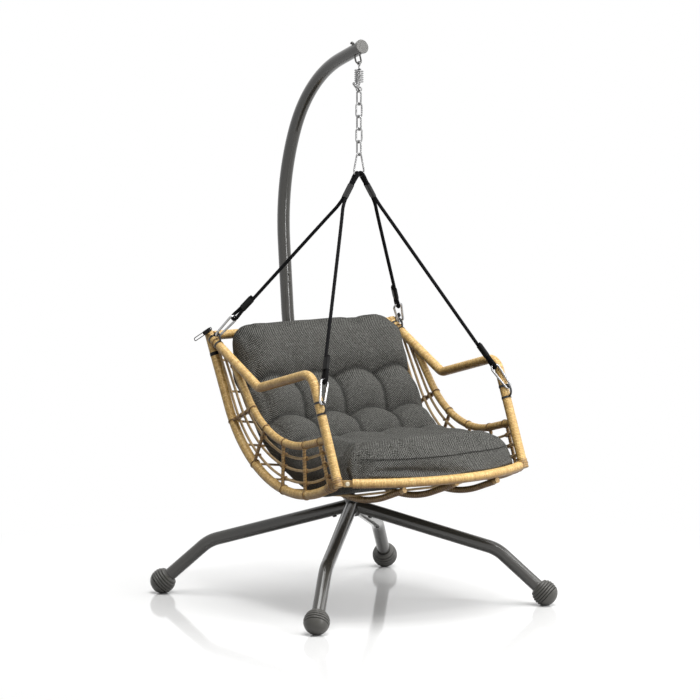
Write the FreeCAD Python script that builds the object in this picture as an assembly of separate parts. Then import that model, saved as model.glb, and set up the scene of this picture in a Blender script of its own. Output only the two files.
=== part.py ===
import FreeCAD, Part
import math
import os

# Hanging swing chair: a basket seat of wrapped tubes hung by rope slings, a chain and a spring
# from a curved mast that stands on four legs. Millimetres, +Z up, the sitter faces -Y.

V = FreeCAD.Vector

# Base: hub, legs and ball feet
FOOT_SPREAD = 470.0
FOOT_R = 44.0
FOOT_FLAT = 1.0
FOOT_RIM_R = 28.0
FOOT_RIDGES = 5
FOOT_RIDGE_PITCH = 9.0
FOOT_RIDGE_DEPTH = 3.2
FOOT_RIM_LIP = 2.0
FOOT_SOCKET_DEPTH = 30.0
LEG_R = 22.5
LEG_WALL = 1.8
LEG_BEND_SPREAD = 354.0
LEG_BEND_Z = 189.0
LEG_BEND_R = 130.0
LEG_HUB_Z = 328.0
LEG_START = 36.0
LEG_SPIGOT = 70.0
LEG_BOLT_AT = 34.0
LEG_BOLT_DEPTH = 26.0
HUB_POST_R = 27.0
HUB_POST_BOTTOM = 290.0
HUB_POST_TOP = 358.0
HUB_EDGE = 5.0

# Mast: profile in the middle plane, as distances behind the hub and heights
MAST_R = 22.0
MAST_WALL = 2.0
MAST_HUB_Z = 340.0
MAST_LOWER_KNEE = (364.9, 628.3)
MAST_LOWER_BEND_R = 800.0
MAST_UPPER_KNEE = (433.0, 1406.3)
MAST_UPPER_BEND_R = 777.0
MAST_CROWN = (259.7, 1777.9)
MAST_CROWN_BEND_R = 487.0
MAST_TIP = (-56.5, 1893.0)
MAST_SEAM_Z = 1045.0
MAST_START = 44.0
MAST_SPIGOT = 110.0
MAST_BOLT_STEPS = (14.0, 42.0)
CAP_R = 24.5
CAP_FACE = 3.0
CAP_DOME = 1.5
CAP_PLUG = 22.0

# Fasteners
BOLT_R = 4.0
BOLT_HEAD_R = 7.5
BOLT_HEAD_H = 4.5
NUT_R = 7.5
NUT_H = 6.5
SMALL_BOLT_R = 3.0
SMALL_HEAD_R = 5.5
SMALL_HEAD_H = 3.5

# U-bolt near the mast tip, square to the tube there
U_ROD_R = 3.0
U_HALF_WIDTH = 11.0
U_FROM_TIP = 36.0
U_DEPTH = 48.0
U_THREAD_ABOVE = 3.0
U_NUT_H = 4.0

# Suspension spring
SPRING_WIRE_R = 2.5
SPRING_COIL_R = 13.0
SPRING_TURNS = 7
SPRING_PITCH = 7.0
SPRING_TOP_HOOK_R = 6.1
SPRING_LOW_HOOK_R = 10.0
SPRING_NECK = 20.0
SPRING_LOW_NECK = 17.0

# Chain
LINK_WIRE_R = 3.0
LINK_INNER_LENGTH = 43.0
LINK_INNER_WIDTH = 17.0
LINK_COUNT = 5
SPARE_LINK_RISE = 50.0
SPARE_LINK_LENGTH = 20.0
SPARE_LINK_WIDTH = 11.0

# Snap hooks: pear shapes with the wide end towards the slings
TOP_HOOK_WIRE_R = 3.0
TOP_HOOK_NARROW_R = 9.5
TOP_HOOK_WIDE_R = 20.0
TOP_HOOK_SPAN = 48.0
CORNER_HOOK_WIRE_R = 4.0
CORNER_HOOK_NARROW_R = 10.0
CORNER_HOOK_WIDE_R = 14.5
CORNER_HOOK_SPAN = 67.0
GATE_PIVOT_AT = 7.0
GATE_NOSE_GAP = 0.4
GATE_NOSE_STUB = 7.0
GATE_TONGUE = 2.4
GATE_PIN_R = 1.2

# Rope slings
ROPE_R = 6.0
SLING_EYE_AT = 38.0
SLING_SPREAD_DEG = 32.0
SLING_EYE_LENGTH = 30.0
SLING_SLEEVE = 50.0
SLING_FORK_R = 50.0
END_SLEEVE = 46.0
END_EYE_LENGTH = 30.0
SLEEVE_WALL = 1.6
SLEEVE_LEAD = 7.0
FORK_LEAD = 14.0

# Basket frame: places as distance behind the chain line and height above the floor in the rest pose
FRAME_HALF_WIDTH = 380.0
RAIL_R = 15.0
INNER_RAIL_R = 12.0
REAR_CORNER = (344.0, 905.0)
SEAT_KNEE = (28.7, 286.2)
SEAT_KNEE_R = 455.0
FRONT_CORNER = (-423.0, 492.0)
ARM_FRONT = (-271.0, 840.0)
ARM_FRONT_R = 55.0
ARM_DIP = (42.0, 757.0)
ARM_DIP_R = 42.0
RAIL_END = 14.0
INNER_TOP = (204.0, 833.0)
INNER_KNEE = (-36.0, 544.1)
INNER_KNEE_R = 340.0
INNER_FRONT = (-362.0, 628.0)
SIDE_ROD_COUNT = 3
SIDE_ROD_R = 4.5
RIB_R = 5.0
RIB_INNER_STATIONS = (0.294, 0.442, 0.618, 0.802, 0.939)
RIB_OUTER_STATIONS = (0.317, 0.50, 0.682, 0.813, 0.955)

# Front bar, rear bar and seat rods
FRONT_BAR_TURN_DEG = 35.757
FRONT_BAR_LINK = 48.0
FRONT_BAR_Z = 491.0
TONGUE_LENGTH = 30.0
TONGUE_HEIGHT = 22.0
TONGUE_THICK = 4.0
TONGUE_BOLT_AT = 16.0
TAB_LENGTH = 40.0
SEAT_ROD_R = 9.0
SEAT_ROD_SHARES = (-0.5, 0.0, 0.5)
SEAT_ROD_KNEE = (2.0, 288.0)
SEAT_ROD_KNEE_R = 545.0
SEAT_ROD_FRONT = (-534.0, 467.0)
CROSS_ROD_R = 4.0
CROSS_ROD_STATIONS = (0.10, 0.21, 0.317, 0.41, 0.50, 0.59, 0.682, 0.76)
CROSS_ROD_BEND_R = 60.0
CROSS_ROD_OUT = 16.0

# Hang bows on the frame, with their clamp bands
BOW_R = 20.0
BOW_WIRE_R = 3.6
BOW_BAND = 7.0
BOW_BAND_WALL = 2.0
FRONT_BOW_AT = 255.0
REAR_BOW_AT = 43.4
FRONT_BOW_LEAN = 67.0
REAR_BOW_LEAN = 4.0

# Wire clips with a rubber sleeve at the rear corners
CLIP_UPPER = (14.7, 317.2, 931.3)
CLIP_LOWER = (33.0, 382.0, 892.0)
CLIP_SLEEVE_AT = 59.5
CLIP_WIRE_R = 1.5
CLIP_HALF_WIDTH = 5.5
CLIP_SLEEVE_R = 7.5
CLIP_SLEEVE_LENGTH = 30.0

# Cushion: one quilted piece over the back and the seat. Each row gives its place as a share of the seat
# rods' length, then crown, tuft valley and side height as shares of the thickness
CUSHION_SIDE_GAP = 15.0
CUSHION_THICK = 158.0
CUSHION_TUFT_SHARE = 0.48
CUSHION_TOP = (-20.0, 0.29, 0.28, 0.26)
CUSHION_ROWS = (
    (0.009, 0.54, 0.52, 0.46), (0.067, 0.77, 0.75, 0.58), (0.144, 0.76, 0.71, 0.57), (0.20, 0.55, 0.38, 0.36),
    (0.27, 0.82, 0.63, 0.58), (0.36, 0.55, 0.35, 0.36), (0.425, 0.82, 0.64, 0.58), (0.50, 0.58, 0.39, 0.44),
    (0.59, 0.92, 0.86, 0.80), (0.745, 1.02, 1.0, 0.96), (0.89, 0.97, 0.96, 0.90))
CUSHION_FRONT = (30.0, 0.57, 0.56, 0.52)
CUSHION_STEPS = 3
CUSHION_FRONT_OVERHANG = 10.0
CUSHION_SIDE_DRAW = 26.0
# The underside sags beside the outer seat rods by this share of the way to the rails, in and out over these
# shares of the seat rods' length
CUSHION_SAG_SHARE = 0.56
CUSHION_SAG_SPAN = (0.05, 0.18, 0.66, 0.84)

# Clearances
SLIP = 0.1
SEAT_GAP = 0.2
RUN_GAP = 0.4
PIN_GAP = 0.3
TINY = 0.001


# Widths that follow from the frame
FRONT_BAR_TURN = math.radians(FRONT_BAR_TURN_DEG)
FRONT_BAR_HALF = FRAME_HALF_WIDTH - FRONT_BAR_LINK * math.cos(FRONT_BAR_TURN)
FRONT_BAR_END_Y = FRONT_CORNER[0] - FRONT_BAR_LINK * math.sin(FRONT_BAR_TURN)
FRONT_BAR_BOW = FRONT_BAR_HALF * math.tan(FRONT_BAR_TURN / 2)
SEAT_ROD_X = tuple(share * FRAME_HALF_WIDTH for share in SEAT_ROD_SHARES)
CUSHION_HALF_WIDTH = FRAME_HALF_WIDTH - RAIL_R - CUSHION_SIDE_GAP
CUSHION_TUFT_X = CUSHION_TUFT_SHARE * CUSHION_HALF_WIDTH


def unit(vector):
    """The vector at length one."""
    return V(vector).normalize()


def rounded_path(points, radii):
    """Straight runs through the points, with a tangent arc of the given radius at each inner point."""
    edges = []
    start = points[0]
    for before, corner, after, radius in zip(points, points[1:], points[2:], radii):
        back = unit(before - corner)
        ahead = unit(after - corner)
        half = back.getAngle(ahead) / 2
        reach = radius / math.tan(half)
        inward = unit(back + ahead)
        middle = corner + inward * (radius / math.sin(half) - radius)
        enter = corner + back * reach
        leave = corner + ahead * reach
        if (enter - start).Length > TINY:
            edges.append(Part.makeLine(start, enter))
        edges.append(Part.Arc(enter, middle, leave).toShape())
        start = leave
    if (points[-1] - start).Length > TINY:
        edges.append(Part.makeLine(start, points[-1]))
    return edges


def rod(edges, radius):
    """A solid round bar carried along joined edges."""
    first = edges[0]
    point = first.valueAt(first.FirstParameter)
    along = first.tangentAt(first.FirstParameter)
    ring = Part.Wire([Part.makeCircle(radius, point, along)])
    return Part.Wire(edges).makePipeShell([ring], True, False)


def pipe(edges, radius, wall):
    """A hollow tube with open ends."""
    return rod(edges, radius).cut(rod(edges, radius - wall))


def straight(start, end, radius):
    """A round bar between two points."""
    along = end - start
    return Part.makeCylinder(radius, along.Length, start, along)


def path_length(edges):
    """Length of joined edges."""
    return sum(edge.Length for edge in edges)


def along_path(edges, distance):
    """Point and heading at a distance along joined edges."""
    for edge in edges:
        if distance <= edge.Length + TINY:
            place = edge.getParameterByLength(min(distance, edge.Length))
            return edge.valueAt(place), unit(edge.tangentAt(place))
        distance -= edge.Length
    last = edges[-1]
    return last.valueAt(last.LastParameter), unit(last.tangentAt(last.LastParameter))


def part_of_path(edges, start, end):
    """The stretch of joined edges between two distances."""
    kept = []
    reached = 0.0
    for edge in edges:
        low = max(start - reached, 0.0)
        high = min(end - reached, edge.Length)
        if high - low > TINY:
            a = edge.getParameterByLength(low)
            b = edge.getParameterByLength(high)
            kept.append(edge.Curve.toShape(a, b))
        reached += edge.Length
    return kept


def mirrored(shape):
    """The same piece on the other side of the middle plane."""
    return shape.mirror(V(0, 0, 0), V(1, 0, 0))


def bolt(seat, axis, grip, shank_r, head_r, head_h, nut_h=0.0):
    """A round-headed bolt whose head sits at seat; the shank runs along axis, with a nut past the grip."""
    axis = unit(axis)
    shank = straight(seat - axis * TINY, seat + axis * (grip + nut_h), shank_r)
    head = Part.makeCylinder(head_r, head_h, seat, axis * -1)
    rim = [edge for edge in head.Edges if edge.Length > head_r and edge.CenterOfMass.distanceToPoint(
        seat - axis * head_h) < TINY]
    head = head.makeFillet(head_h * 0.5, rim)
    solid = shank.fuse(head)
    if nut_h:
        corners = [V(NUT_R * math.cos(math.radians(60 * k)), NUT_R * math.sin(math.radians(60 * k)), 0)
                   for k in range(7)]
        nut = Part.Face(Part.makePolygon(corners)).extrude(V(0, 0, nut_h))
        nut.Placement = FreeCAD.Placement(seat + axis * grip, FreeCAD.Rotation(V(0, 0, 1), axis))
        solid = solid.fuse(nut)
    return solid.removeSplitter()


def save(name, shapes):
    """Write one node: a single solid, or a group of separate solids."""
    if isinstance(shapes, list):
        shape = Part.makeCompound(shapes)
    else:
        shape = shapes
    for solid in shape.Solids:
        if not solid.isValid():
            print("INVALID", name)
    print(name, "solids", len(shape.Solids), "volume", round(shape.Volume, 1))
    shape.exportStep("parts/" + name + ".step")


# Places worked out from the driving dimensions
TIP_DIR = unit(V(0, MAST_TIP[0] - MAST_CROWN[0], MAST_TIP[1] - MAST_CROWN[1]))
U_DIR = V(0, -TIP_DIR.z, TIP_DIR.y)
HANG_FROM_HUB = V(0, MAST_TIP[0], MAST_TIP[1]) - TIP_DIR * U_FROM_TIP + U_DIR * U_DEPTH
FRONT_REACH = -(HANG_FROM_HUB.y + FRONT_BAR_END_Y - FRONT_BAR_BOW - RAIL_R)
HUB_Y = (FRONT_REACH - FOOT_SPREAD - FOOT_R) / 2
HUB = V(0, HUB_Y, 0)
PIVOT = HUB + HANG_FROM_HUB
FRAME_Z = 1835.5


def from_hub(y, z):
    """A point in the middle plane, placed from the hub."""
    return HUB + V(0, y, z)


def hung(x, place):
    """A point of the basket: x, then distance behind the chain line and rest height."""
    return V(x, PIVOT.y + place[0], PIVOT.z - FRAME_Z + place[1])


def leg_places(side_x, side_y):
    """Hub point, bend and foot centre of one leg, and the direction of its lower run."""
    foot_z = FOOT_R - FOOT_FLAT
    top = HUB + V(0, 0, LEG_HUB_Z)
    bend = HUB + V(side_x * LEG_BEND_SPREAD, side_y * LEG_BEND_SPREAD, LEG_BEND_Z)
    foot = HUB + V(side_x * FOOT_SPREAD, side_y * FOOT_SPREAD, foot_z)
    return top, bend, foot, unit(foot - bend)


def foot_rim_to_centre():
    """Distance from the foot's rim to the centre of its ball."""
    return math.sqrt(FOOT_R ** 2 - FOOT_RIM_R ** 2)


def ball_radius(t):
    """Radius of the foot's ball at a distance past its rim."""
    return math.sqrt(max(FOOT_R ** 2 - (t - foot_rim_to_centre()) ** 2, 0.0))


def make_foot(centre, axis):
    """A rubber ball foot: ridges round the leg side, a smooth dome below and a socket for the tube."""
    socket_r = LEG_R + SLIP
    centre_t = foot_rim_to_centre()
    points = [V(socket_r, 0, 0), V(ball_radius(0) - FOOT_RIDGE_DEPTH, 0, 0)]
    edges = [Part.makeLine(points[0], points[1])]
    here = V(ball_radius(FOOT_RIM_LIP) - FOOT_RIDGE_DEPTH, 0, FOOT_RIM_LIP)
    edges.append(Part.makeLine(points[1], here))
    for k in range(FOOT_RIDGES):
        t0 = FOOT_RIM_LIP + k * FOOT_RIDGE_PITCH
        t1 = t0 + FOOT_RIDGE_PITCH
        crest = V(ball_radius((t0 + t1) / 2), 0, (t0 + t1) / 2)
        there = V(ball_radius(t1) - FOOT_RIDGE_DEPTH, 0, t1)
        edges.append(Part.Arc(here, crest, there).toShape())
        here = there
    shoulder_t = here.z + FOOT_RIDGE_DEPTH / 2
    shoulder = V(ball_radius(shoulder_t), 0, shoulder_t)
    edges.append(Part.makeLine(here, shoulder))
    turn = (math.pi / 2 + math.atan2(shoulder_t - centre_t, shoulder.x)) / 2
    middle = V(FOOT_R * math.cos(turn), 0, centre_t + FOOT_R * math.sin(turn))
    bottom = V(0, 0, centre_t + FOOT_R)
    edges.append(Part.Arc(shoulder, middle, bottom).toShape())
    floor_of_socket = V(0, 0, FOOT_SOCKET_DEPTH)
    edges.append(Part.makeLine(bottom, floor_of_socket))
    edges.append(Part.makeLine(floor_of_socket, V(socket_r, 0, FOOT_SOCKET_DEPTH)))
    edges.append(Part.makeLine(V(socket_r, 0, FOOT_SOCKET_DEPTH), points[0]))
    foot = Part.Face(Part.Wire(edges)).revolve(V(0, 0, 0), V(0, 0, 1), 360)
    foot.Placement = FreeCAD.Placement(centre - axis * centre_t, FreeCAD.Rotation(V(0, 0, 1), axis))
    under = Part.makeBox(6 * FOOT_R, 6 * FOOT_R, 3 * FOOT_R, V(centre.x, centre.y, 0) - V(1, 1, 1) * 3 * FOOT_R)
    return foot.cut(under)


def mast_path():
    """Centre line of the whole mast, from its start at the hub to the tip."""
    knee = from_hub(*MAST_LOWER_KNEE)
    root = from_hub(0, MAST_HUB_Z)
    start = root + unit(knee - root) * MAST_START
    points = [start, knee, from_hub(*MAST_UPPER_KNEE), from_hub(*MAST_CROWN), from_hub(*MAST_TIP)]
    return rounded_path(points, [MAST_LOWER_BEND_R, MAST_UPPER_BEND_R, MAST_CROWN_BEND_R])


def distance_to_height(edges, height):
    """Distance along a rising path at which it reaches a height."""
    low = 0.0
    high = path_length(edges)
    while high - low > TINY:
        middle = (low + high) / 2
        if along_path(edges, middle)[0].z < height:
            low = middle
        else:
            high = middle
    return low


def build_stand():
    """Hub, legs, feet, mast, cap, U-bolt and their fasteners."""
    root = from_hub(0, MAST_HUB_Z)
    mast_dir = unit(from_hub(*MAST_LOWER_KNEE) - root)
    post = Part.makeCylinder(HUB_POST_R, HUB_POST_TOP - HUB_POST_BOTTOM, HUB + V(0, 0, HUB_POST_BOTTOM))
    hub = post.makeFillet(HUB_EDGE, [edge for edge in post.Edges if len(edge.Vertexes) == 1])
    hub = hub.fuse(straight(root, root + mast_dir * (MAST_START + LEG_SPIGOT), MAST_R - MAST_WALL - SLIP))
    hub = hub.fuse(straight(root, root + mast_dir * (MAST_START - SEAT_GAP), MAST_R))
    leg_bolts = []
    holes = []
    for name, side_x, side_y in (("front_left", -1, -1), ("front_right", 1, -1),
                                 ("rear_left", -1, 1), ("rear_right", 1, 1)):
        top, bend, foot, lower = leg_places(side_x, side_y)
        upper = unit(bend - top)
        start = top + upper * LEG_START
        end = foot - lower * (foot_rim_to_centre() - FOOT_SOCKET_DEPTH + SEAT_GAP)
        leg = pipe(rounded_path([start, bend, end], [LEG_BEND_R]), LEG_R, LEG_WALL)
        hub = hub.fuse(straight(top, start + upper * LEG_SPIGOT, LEG_R - LEG_WALL - SLIP))
        hub = hub.fuse(straight(top, start - upper * SEAT_GAP, LEG_R))
        lift = unit(V(0, 0, 1) - upper * upper.z)
        seat = start + upper * LEG_BOLT_AT - lift * LEG_R
        hole = straight(seat - lift * LEG_R, seat + lift * (LEG_BOLT_DEPTH + SEAT_GAP), BOLT_R + SLIP)
        leg = leg.cut(hole)
        holes.append(hole)
        leg_bolts.append(bolt(seat, lift, LEG_BOLT_DEPTH, BOLT_R, BOLT_HEAD_R, BOLT_HEAD_H))
        save("leg_" + name, leg)
        save("foot_" + name, make_foot(foot, lower))
    for hole in holes:
        hub = hub.cut(hole)
    save("leg_bolts", leg_bolts)
    save("base_hub", hub.removeSplitter())

    path = mast_path()
    whole = path_length(path)
    seam = distance_to_height(path, MAST_SEAM_Z)
    lower_mast = pipe(part_of_path(path, 0, seam), MAST_R, MAST_WALL)
    spigot_r = MAST_R - MAST_WALL - SLIP
    swage = pipe(part_of_path(path, seam - MAST_SPIGOT / 4, seam), MAST_R - MAST_WALL / 2, MAST_WALL)
    spigot = pipe(part_of_path(path, seam - MAST_SPIGOT / 4, seam + MAST_SPIGOT), spigot_r, MAST_WALL)
    lower_mast = lower_mast.fuse(swage).fuse(spigot).removeSplitter()
    upper_mast = pipe(part_of_path(path, seam + SEAT_GAP, whole), MAST_R, MAST_WALL)
    mast_bolts = []
    for step in MAST_BOLT_STEPS:
        point, heading = along_path(path, seam + step)
        front = V(0, -heading.z, heading.y)
        hole = straight(point - front * 2 * MAST_R, point + front * 2 * MAST_R, SMALL_BOLT_R + SLIP)
        lower_mast = lower_mast.cut(hole)
        upper_mast = upper_mast.cut(hole)
        mast_bolts.append(bolt(point + front * MAST_R, front * -1, 2 * MAST_R, SMALL_BOLT_R,
                               SMALL_HEAD_R, SMALL_HEAD_H, NUT_H))
    save("mast_bolts", mast_bolts)
    save("mast_lower", lower_mast)

    tip = from_hub(*MAST_TIP)
    axis_point = tip - TIP_DIR * U_FROM_TIP
    legs_top = MAST_R + U_NUT_H + U_THREAD_ABOVE
    side = V(U_HALF_WIDTH, 0, 0)
    u_points = [axis_point - U_DIR * legs_top - side, PIVOT - side, PIVOT + side,
                axis_point - U_DIR * legs_top + side]
    u_bolt = rod(rounded_path(u_points, [U_HALF_WIDTH - TINY, U_HALF_WIDTH - TINY]), U_ROD_R)
    nuts = []
    for sign in (-1, 1):
        leg_at = axis_point + side * sign
        hole = straight(leg_at - U_DIR * legs_top, leg_at + U_DIR * MAST_R, U_ROD_R + SLIP)
        upper_mast = upper_mast.cut(hole)
        corners = [V(NUT_R * math.cos(math.radians(60 * k)), NUT_R * math.sin(math.radians(60 * k)), 0)
                   for k in range(7)]
        nut = Part.Face(Part.makePolygon(corners)).extrude(V(0, 0, U_NUT_H))
        nut.Placement = FreeCAD.Placement(leg_at - U_DIR * (MAST_R + SEAT_GAP), FreeCAD.Rotation(V(0, 0, 1), U_DIR * -1))
        nuts.append(nut.cut(straight(leg_at - U_DIR * 2 * legs_top, leg_at, U_ROD_R + SLIP)))
    save("u_bolt", u_bolt)
    save("u_bolt_nuts", nuts)
    save("mast_upper", upper_mast)

    face = Part.makeCylinder(CAP_R, CAP_FACE, tip + TIP_DIR * SLIP, TIP_DIR)
    rim = [edge for edge in face.Edges if edge.CenterOfMass.distanceToPoint(tip + TIP_DIR * (SLIP + CAP_FACE)) < TINY]
    face = face.makeFillet(CAP_DOME, rim)
    plug = straight(tip - TIP_DIR * CAP_PLUG, tip + TIP_DIR * SLIP, MAST_R - MAST_WALL - SLIP)
    save("mast_cap", face.fuse(plug).removeSplitter())


def biarc(p0, t0, p1, t1):
    """Two tangent arcs from one point and heading to another, with equal end tangents."""
    gap = p1 - p0
    both = t0 + t1
    a = 2 * (1 - t0.dot(t1))
    b = 2 * gap.dot(both)
    c = -gap.dot(gap)
    reach = -c / b if abs(a) < TINY else (-b + math.sqrt(b * b - 4 * a * c)) / (2 * a)
    joint = (p0 + t0 * reach + p1 - t1 * reach) * 0.5
    return [tangent_arc(p0, t0, joint), tangent_arc(joint, unit(p1 - t1 * reach - joint), p1)]


def tangent_arc(start, heading, end):
    """The arc, or line where they are in line, that leaves start along heading and reaches end."""
    chord = end - start
    aside = chord - heading * chord.dot(heading)
    if aside.Length < TINY:
        return Part.makeLine(start, end)
    aside = unit(aside)
    radius = chord.dot(chord) / (2 * chord.dot(aside))
    centre = start + aside * radius
    middle = centre + unit((start - centre) + (end - centre)) * radius
    if chord.dot(heading) < 0:
        middle = centre - unit((start - centre) + (end - centre)) * radius
    return Part.Arc(start, middle, end).toShape()


def spring_places():
    """Heights on the chain line: top and bottom of the coil, and the lower hook's centre."""
    coil_top = PIVOT.z - SPRING_NECK
    coil_bottom = coil_top - SPRING_TURNS * SPRING_PITCH
    hook = coil_bottom - SPRING_LOW_NECK
    return coil_top, coil_bottom, hook


def first_link_centre_z():
    """Height of the wire centre at the top of the first chain link."""
    return spring_places()[2] - SPRING_LOW_HOOK_R + SPRING_WIRE_R + LINK_WIRE_R + RUN_GAP


def build_spring():
    """One wire: a hook over the U-bolt, the coil, and a lower hook open towards -X."""
    coil_top, coil_bottom, hook_z = spring_places()
    axis = V(0, PIVOT.y, 0)
    down = V(0, 0, -1)

    def at_turn(quarter):
        angle = math.pi / 2 * quarter
        drop = SPRING_PITCH * quarter / 4
        point = axis + V(SPRING_COIL_R * math.cos(angle), SPRING_COIL_R * math.sin(angle), coil_top - drop)
        rise = SPRING_PITCH / (2 * math.pi * SPRING_COIL_R)
        return point, unit(V(-math.sin(angle), math.cos(angle), -rise))

    top_r = SPRING_TOP_HOOK_R
    tip_turn = math.radians(-50)
    tip = PIVOT + V(0, top_r * math.cos(tip_turn), top_r * math.sin(tip_turn))
    edges = [Part.Arc(tip, PIVOT + V(0, 0, top_r), PIVOT + V(0, -top_r, 0)).toShape()]
    neck = axis + V(0, 0, PIVOT.z - SPRING_NECK / 2 - SPRING_WIRE_R)
    edges += biarc(PIVOT + V(0, -top_r, 0), down, neck, down)
    start, heading = at_turn(0.5)
    edges += biarc(neck, down, start, heading)
    here, heading = start, heading
    first = 0.5
    count = 4 * SPRING_TURNS - 2
    for k in range(1, count + 1):
        there, onward = at_turn(first + k)
        edges += biarc(here, heading, there, onward)
        here, heading = there, onward
    low_r = SPRING_LOW_HOOK_R
    centre = axis + V(0, 0, hook_z)
    low_neck = axis + V(0, 0, coil_bottom - SPRING_LOW_NECK / 3)
    edges += biarc(here, heading, low_neck, down)
    edges += biarc(low_neck, down, centre + V(low_r, 0, 0), down)
    edges.append(Part.Arc(centre + V(low_r, 0, 0), centre - V(0, 0, low_r), centre - V(low_r, 0, 0)).toShape())
    edges.append(Part.makeLine(centre - V(low_r, 0, 0), centre + V(-low_r, 0, low_r)))
    spring = rod(edges, SPRING_WIRE_R)
    print("spring wire", round(path_length(edges), 1), "volume by length",
          round(math.pi * SPRING_WIRE_R ** 2 * path_length(edges), 1), "least gap", round(self_gap(edges), 2))
    save("spring", spring)


def self_gap(edges):
    """Least gap of the spring wire to itself, on points a few wires apart along it."""
    step = SPRING_WIRE_R
    count = int(path_length(edges) / step)
    points = [along_path(edges, step * k)[0] for k in range(count + 1)]
    apart = 8
    return min((points[i] - points[j]).Length for i in range(len(points))
               for j in range(i + apart, len(points))) - 2 * SPRING_WIRE_R


def chain_link(top, down, aside, length=LINK_INNER_LENGTH, width=LINK_INNER_WIDTH):
    """A round-ended link: top is the wire centre at its upper end, aside its width direction."""
    turn_r = width / 2 + LINK_WIRE_R
    long = length + 2 * LINK_WIRE_R - 2 * turn_r
    upper = top + down * turn_r
    lower = upper + down * long
    side = aside * turn_r
    edges = [Part.makeLine(upper + side, lower + side),
             Part.Arc(lower + side, lower + down * turn_r, lower - side).toShape(),
             Part.makeLine(lower - side, upper - side),
             Part.Arc(upper - side, upper - down * turn_r, upper + side).toShape()]
    return rod(edges, LINK_WIRE_R)


def link_pitch():
    """Drop from one link to the next, with the running gap between the wires."""
    return LINK_INNER_LENGTH - RUN_GAP


def build_chain():
    """Five links in turned pairs, and the spare end link caught on the spring's hook."""
    down = V(0, 0, -1)
    top = V(0, PIVOT.y, first_link_centre_z())
    links = []
    for k in range(LINK_COUNT):
        aside = V(0, 1, 0) if k % 2 == 0 else V(1, 0, 0)
        links.append(chain_link(top + down * link_pitch() * k, down, aside))
    save("chain_link_top", links[0])
    save("chain_links", links[1:])
    hook_z = spring_places()[2]
    rise = math.radians(SPARE_LINK_RISE)
    away = V(-math.cos(rise), 0, math.sin(rise))
    inside = SPRING_LOW_HOOK_R - SPRING_WIRE_R - LINK_WIRE_R - RUN_GAP
    held = V(-inside * 0.97, PIVOT.y, hook_z + inside * 0.24)
    save("chain_spare_link", chain_link(held, away, V(0, 1, 0), SPARE_LINK_LENGTH, SPARE_LINK_WIDTH))


def flank(narrow_r, wide_r, span):
    """Lean of a pear hook's straight side."""
    return math.asin((wide_r - narrow_r) / span)


def make_hook(narrow_r, wide_r, span, wire_r):
    """A pear snap hook and its gate, with the narrow end's centre at zero and the wide end along +Z."""
    lean = flank(narrow_r, wide_r, span)
    out = V(math.cos(lean), 0, -math.sin(lean))
    up = V(math.sin(lean), 0, math.cos(lean))
    far = V(-out.x, 0, out.z)
    wide = V(0, 0, span)
    pivot = out * narrow_r + up * GATE_PIVOT_AT
    nose = wide + out * wide_r - up * GATE_NOSE_STUB
    edges = [Part.makeLine(pivot, out * narrow_r),
             Part.Arc(out * narrow_r, V(0, 0, -narrow_r), far * narrow_r).toShape(),
             Part.makeLine(far * narrow_r, wide + far * wide_r),
             Part.Arc(wide + far * wide_r, wide + V(0, 0, wide_r), wide + out * wide_r).toShape(),
             Part.makeLine(wide + out * wide_r, nose)]
    turn = FreeCAD.Placement(pivot, FreeCAD.Rotation(V(0, 1, 0), math.degrees(lean)))
    fork = 4 * wire_r
    cheek = wire_r + RUN_GAP
    tongue_side = Part.makeBox(fork, fork, 2 * cheek + wire_r, V(-fork / 2, GATE_TONGUE / 2, -cheek))
    cutters = tongue_side.fuse(tongue_side.mirror(V(0, 0, 0), V(0, 1, 0)))
    cutters.Placement = turn
    body = rod(edges, wire_r).fuse(Part.makeSphere(wire_r - SLIP, pivot)).cut(cutters)
    hole = straight(pivot - V(0, fork, 0), pivot + V(0, fork, 0), GATE_PIN_R + PIN_GAP)
    body = body.cut(hole).removeSplitter()
    length = (nose - pivot).Length - GATE_NOSE_GAP
    gate = Part.makeCylinder(wire_r, length).fuse(Part.makeSphere(wire_r, V(0, 0, 0)))
    slot_half = GATE_TONGUE / 2 + SEAT_GAP
    slot = Part.makeBox(fork, 2 * slot_half, fork, V(-fork / 2, -slot_half, cheek + SEAT_GAP - fork))
    gate = gate.cut(slot).fuse(Part.makeCylinder(GATE_PIN_R, 2 * wire_r - 1, V(0, -wire_r + 0.5, 0), V(0, 1, 0)))
    gate.Placement = turn
    return body, gate.removeSplitter(), pivot


def frame_placement(origin, aside, along):
    """Placement that turns +X to aside and +Z to along."""
    matrix = FreeCAD.Matrix()
    normal = along.cross(aside)
    for column, axis in enumerate((aside, normal, along)):
        setattr(matrix, "A1" + str(column + 1), axis.x)
        setattr(matrix, "A2" + str(column + 1), axis.y)
        setattr(matrix, "A3" + str(column + 1), axis.z)
    matrix.A14, matrix.A24, matrix.A34 = origin.x, origin.y, origin.z
    return FreeCAD.Placement(matrix)


def moved(shape, placement):
    """A copy of a shape carried by a placement."""
    copy = shape.copy()
    copy.Placement = placement.multiply(copy.Placement)
    return copy


def top_hook_centre():
    """Centre of the top hook's narrow end, which hangs in the last chain link."""
    last_bottom = first_link_centre_z() - link_pitch() * (LINK_COUNT - 1) - LINK_INNER_LENGTH - 2 * LINK_WIRE_R
    wire = last_bottom + 2 * LINK_WIRE_R + RUN_GAP
    return V(0, PIVOT.y, wire - TOP_HOOK_NARROW_R)


def sling_eye():
    """Wire centre in the top hook where the left sling's eye hangs, and the sling's heading below it."""
    wide = top_hook_centre() - V(0, 0, TOP_HOOK_SPAN)
    angle = math.radians(SLING_EYE_AT)
    wire = wide + V(-math.sin(angle), 0, -math.cos(angle)) * TOP_HOOK_WIDE_R
    spread = math.radians(SLING_SPREAD_DEG)
    return wire, V(-math.sin(spread), 0, -math.cos(spread))


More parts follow.
